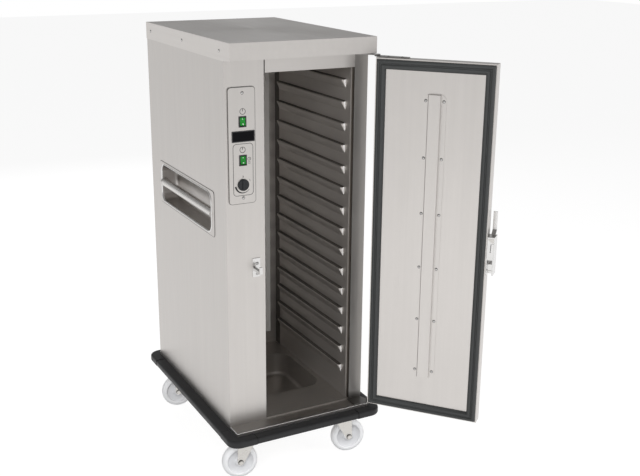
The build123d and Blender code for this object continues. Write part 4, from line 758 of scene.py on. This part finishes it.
heads = [((side * 0.280, y, 1.609), (side, 0, 0)) for side in (-1, 1) for y in (-0.327, 0.021, 0.363)]
heads += [((PANEL_X, PLATE_Y, z), (0, -1, 0)) for z in (1.469, 1.104)]
heads += [((-0.164, PLATE_Y, z), (0, -1, 0)) for z in (0.818, 0.8565)]
screw_heads("cabinet_screw_heads", "cabinet", heads, "body_screws")
outward = DOOR.to_3x3() @ Vector((0, -1, 0))
heads = [(door_inner(STRIP_U + side * 0.0324, 0.423 + 0.2024 * row, 0.0407), outward)
         for side in (-1, 1) for row in range(6)]
for u in (0.046, 0.096):
    heads.append((DOOR @ Vector((u, -0.012, 1.5754)), (0, 0, 1)))
    heads.append((DOOR @ Vector((u, -0.012, 0.2436)), (0, 0, -1)))
screw_heads("door_screw_heads", "door", heads, "door_screws")

# Latch details on the inner side of its housing: cap, wedge, slot and sliding plate.
LATCH_U0, LATCH_V, LATCH_Z1 = 0.4366, -0.037, 0.971
bm = bmesh.new()


def latch_point(a, b, d):
    return DOOR @ Vector((LATCH_U0 + a, LATCH_V - d, LATCH_Z1 + b))


add_prism(bm, [(0.0006, -0.0004), (0.0254, -0.0004), (0.0254, -0.0056), (0.0006, -0.0056)], latch_point,
          -0.001, 0.0016, 0.0006, 0)
add_prism(bm, [(0.0020, -0.0066), (0.0236, -0.0066), (0.0236, -0.0200), (0.0190, -0.0225),
               (0.0040, -0.0130)], latch_point, -0.001, 0.0009, 0.0004, 1)
# Painted shade: the slot and the short bar below it are flat dark pieces standing for the shade inside
# the cut.
add_prism(bm, [(0.0126, -0.0260), (0.0148, -0.0260), (0.0140, -0.0520), (0.0118, -0.0520)], latch_point,
          -0.0005, 0.0004, 0.0, 2)
add_prism(bm, [(0.0108, -0.0535), (0.0150, -0.0535), (0.0150, -0.0560), (0.0108, -0.0560)], latch_point,
          -0.0005, 0.0006, 0.0, 2)
add_prism(bm, [(0.0152, -0.0250), (0.0246, -0.0240), (0.0246, -0.0840), (0.0152, -0.0840)], latch_point,
          -0.001, 0.0012, 0.0006, 0)
place(finish_mesh(bm, "latch_trim"), "door", ["bright", "zinc", "dark_steel_and_painted_shade"], "steel_bright")

# Painted shadow: dark fillers in the joints between the bumper's corners and its rails, standing for
# the shade in the grooves.
JOINT_SHADOW_Z, JOINT_SHADOW_SIZE = 0.2055, (0.0410, 0.0282, 0.0080)
bm = bmesh.new()
for sx in (-1, 1):
    for sy in (-1, 1):
        add_prism(bm, round_rect(sy * 0.4402, JOINT_SHADOW_Z, *JOINT_SHADOW_SIZE, 4),
                  lambda a, b, d: Vector((d, a, b)), sx * 0.2130, sx * 0.2152)
        add_prism(bm, round_rect(sx * 0.2982, JOINT_SHADOW_Z, *JOINT_SHADOW_SIZE, 4),
                  lambda a, b, d: Vector((a, d, b)), sy * 0.3550, sy * 0.3572)
place(finish_mesh(bm, "bumper_joint_painted_shadows"), "cabinet", "gap", "bumper_plastic")

# Dark washers round the caster axles and a bright cap on each.
for name, (sx, sy, angle) in CASTERS.items():
    bm = bmesh.new()
    for way in (1, -1):
        face = (TRAIL, way * 0.02305, WHEEL_Z)
        add_lathe(bm, [(0.0, 0.0088), (0.0, 0.0106), (0.0006, 0.0104), (0.0008, 0.0088)], face,
                  (0, way, 0), 32, 1)
        add_lathe(bm, [(0.0050, 0.0084), (0.0058, 0.0078), (0.0064, 0.0040), (0.0066, 0.0)], face,
                  (0, way, 0), 32, 0)
    add_lathe(bm, [(0.0, 0.0365), (0.0012, 0.0372), (0.0040, 0.0372), (0.0052, 0.0362)],
              (0, 0, 0.1762), (0, 0, 1), 48, 0)
    place(finish_mesh(bm, f"caster_axle_caps_{name}", turn_z(sx, sy, angle)), f"caster_fork_{name}",
          ["zinc", "dark_steel_and_painted_shade"], "zinc_steel")

# Camera, solved from the photograph's edges.
YAW, PITCH, ROLL = math.radians(28.339), math.radians(17.455), math.radians(0.538)
CAMERA_AT = (-1.5512, -3.4027, 2.0022)
FOCAL_PX, FRAME_PX, SENSOR_MM = 988.5, 640.0, 36.0
fwd = Vector((math.sin(YAW) * math.cos(PITCH), math.cos(YAW) * math.cos(PITCH), -math.sin(PITCH)))
level = Vector((math.cos(YAW), -math.sin(YAW), 0))
up = level.cross(fwd)
right = level * math.cos(ROLL) + up * math.sin(ROLL)
up = up * math.cos(ROLL) - level * math.sin(ROLL)
camera_data = bpy.data.cameras.new("camera")
camera_data.sensor_width = SENSOR_MM
camera_data.lens = FOCAL_PX * SENSOR_MM / FRAME_PX
camera_data.clip_end = 100.0
camera = bpy.data.objects.new("camera", camera_data)
scene.collection.objects.link(camera)
camera.matrix_world = Matrix(((right.x, up.x, -fwd.x, CAMERA_AT[0]),
                              (right.y, up.y, -fwd.y, CAMERA_AT[1]),
                              (right.z, up.z, -fwd.z, CAMERA_AT[2]), (0, 0, 0, 1)))
scene.camera = camera

# Floor: pale, white to the camera and to reflections, and it keeps the soft shadow.
FLOOR_GREY, FLOOR_GLOW = 0.22, 0.87
bm = bmesh.new()
bmesh.ops.create_grid(bm, x_segments=1, y_segments=1, size=20.0)
floor = finish_mesh(bm, "floor")
m, tree, bsdf = new_material("floor")
tree.nodes.remove(bsdf)
diffuse = add(tree, "ShaderNodeBsdfDiffuse")
diffuse.inputs["Color"].default_value = (FLOOR_GREY, FLOOR_GREY, FLOOR_GREY, 1)
glow = add(tree, "ShaderNodeEmission")
glow.inputs["Color"].default_value = (1, 1, 1, 1)
path = add(tree, "ShaderNodeLightPath")
either = add(tree, "ShaderNodeMath", operation="MAXIMUM")
tree.links.new(path.outputs["Is Camera Ray"], either.inputs[0])
tree.links.new(path.outputs["Is Glossy Ray"], either.inputs[1])
level_node = add(tree, "ShaderNodeMath", operation="MAXIMUM")
tree.links.new(either.outputs[0], level_node.inputs[0])
tree.links.new(path.outputs["Is Transmission Ray"], level_node.inputs[1])
power = add(tree, "ShaderNodeMath", operation="MULTIPLY")
tree.links.new(level_node.outputs[0], power.inputs[0])
power.inputs[1].default_value = FLOOR_GLOW
tree.links.new(power.outputs[0], glow.inputs["Strength"])
both = add(tree, "ShaderNodeAddShader")
tree.links.new(diffuse.outputs[0], both.inputs[0])
tree.links.new(glow.outputs[0], both.inputs[1])
tree.links.new(both.outputs[0], tree.nodes["Material Output"].inputs["Surface"])
floor.data.materials.append(m)

# World: white to the camera; a soft studio gradient, pale at the horizon, for light.
world = bpy.data.worlds.new("world")
scene.world = world
world.use_nodes = True
wt = world.node_tree
background = wt.nodes["Background"]
tex = add(wt, "ShaderNodeTexCoord")
split = add(wt, "ShaderNodeSeparateXYZ")
wt.links.new(tex.outputs["Generated"], split.inputs[0])
ramp = add(wt, "ShaderNodeValToRGB")
ramp.color_ramp.elements.new(0.16)
for stop, (height, grey) in zip(ramp.color_ramp.elements, ((0.0, 0.95), (0.16, 0.55), (0.42, 0.27))):
    stop.position = height
    stop.color = (grey, grey, grey, 1)
wt.links.new(split.outputs["Z"], ramp.inputs["Fac"])
path = add(wt, "ShaderNodeLightPath")
mix = add(wt, "ShaderNodeMix", data_type="RGBA")
wt.links.new(path.outputs["Is Camera Ray"], mix.inputs[0])
wt.links.new(ramp.outputs["Color"], mix.inputs[6])
mix.inputs[7].default_value = (1, 1, 1, 1)
wt.links.new(mix.outputs[2], background.inputs["Color"])
background.inputs["Strength"].default_value = 1.0


def area_light(name, place_at, look_at, size, power_watts):
    data = bpy.data.lights.new(name, "AREA")
    data.shape = "RECTANGLE"
    data.size, data.size_y = size
    data.energy = power_watts
    lamp = bpy.data.objects.new(name, data)
    scene.collection.objects.link(lamp)
    lamp.location = place_at
    lamp.visible_glossy = False
    lamp.rotation_euler = (Vector(look_at) - Vector(place_at)).to_track_quat("-Z", "Y").to_euler()


area_light("key", (-2.6, -3.6, 2.8), (0, 0, 0.7), (2.4, 2.4), 165)
area_light("fill", (3.4, -3.0, 2.0), (0, 0, 0.7), (2.6, 2.6), 100)
area_light("back", (0.5, 4.2, 2.6), (0, 0, 0.8), (2.6, 2.0), 70)

scene.view_settings.view_transform = "Standard"
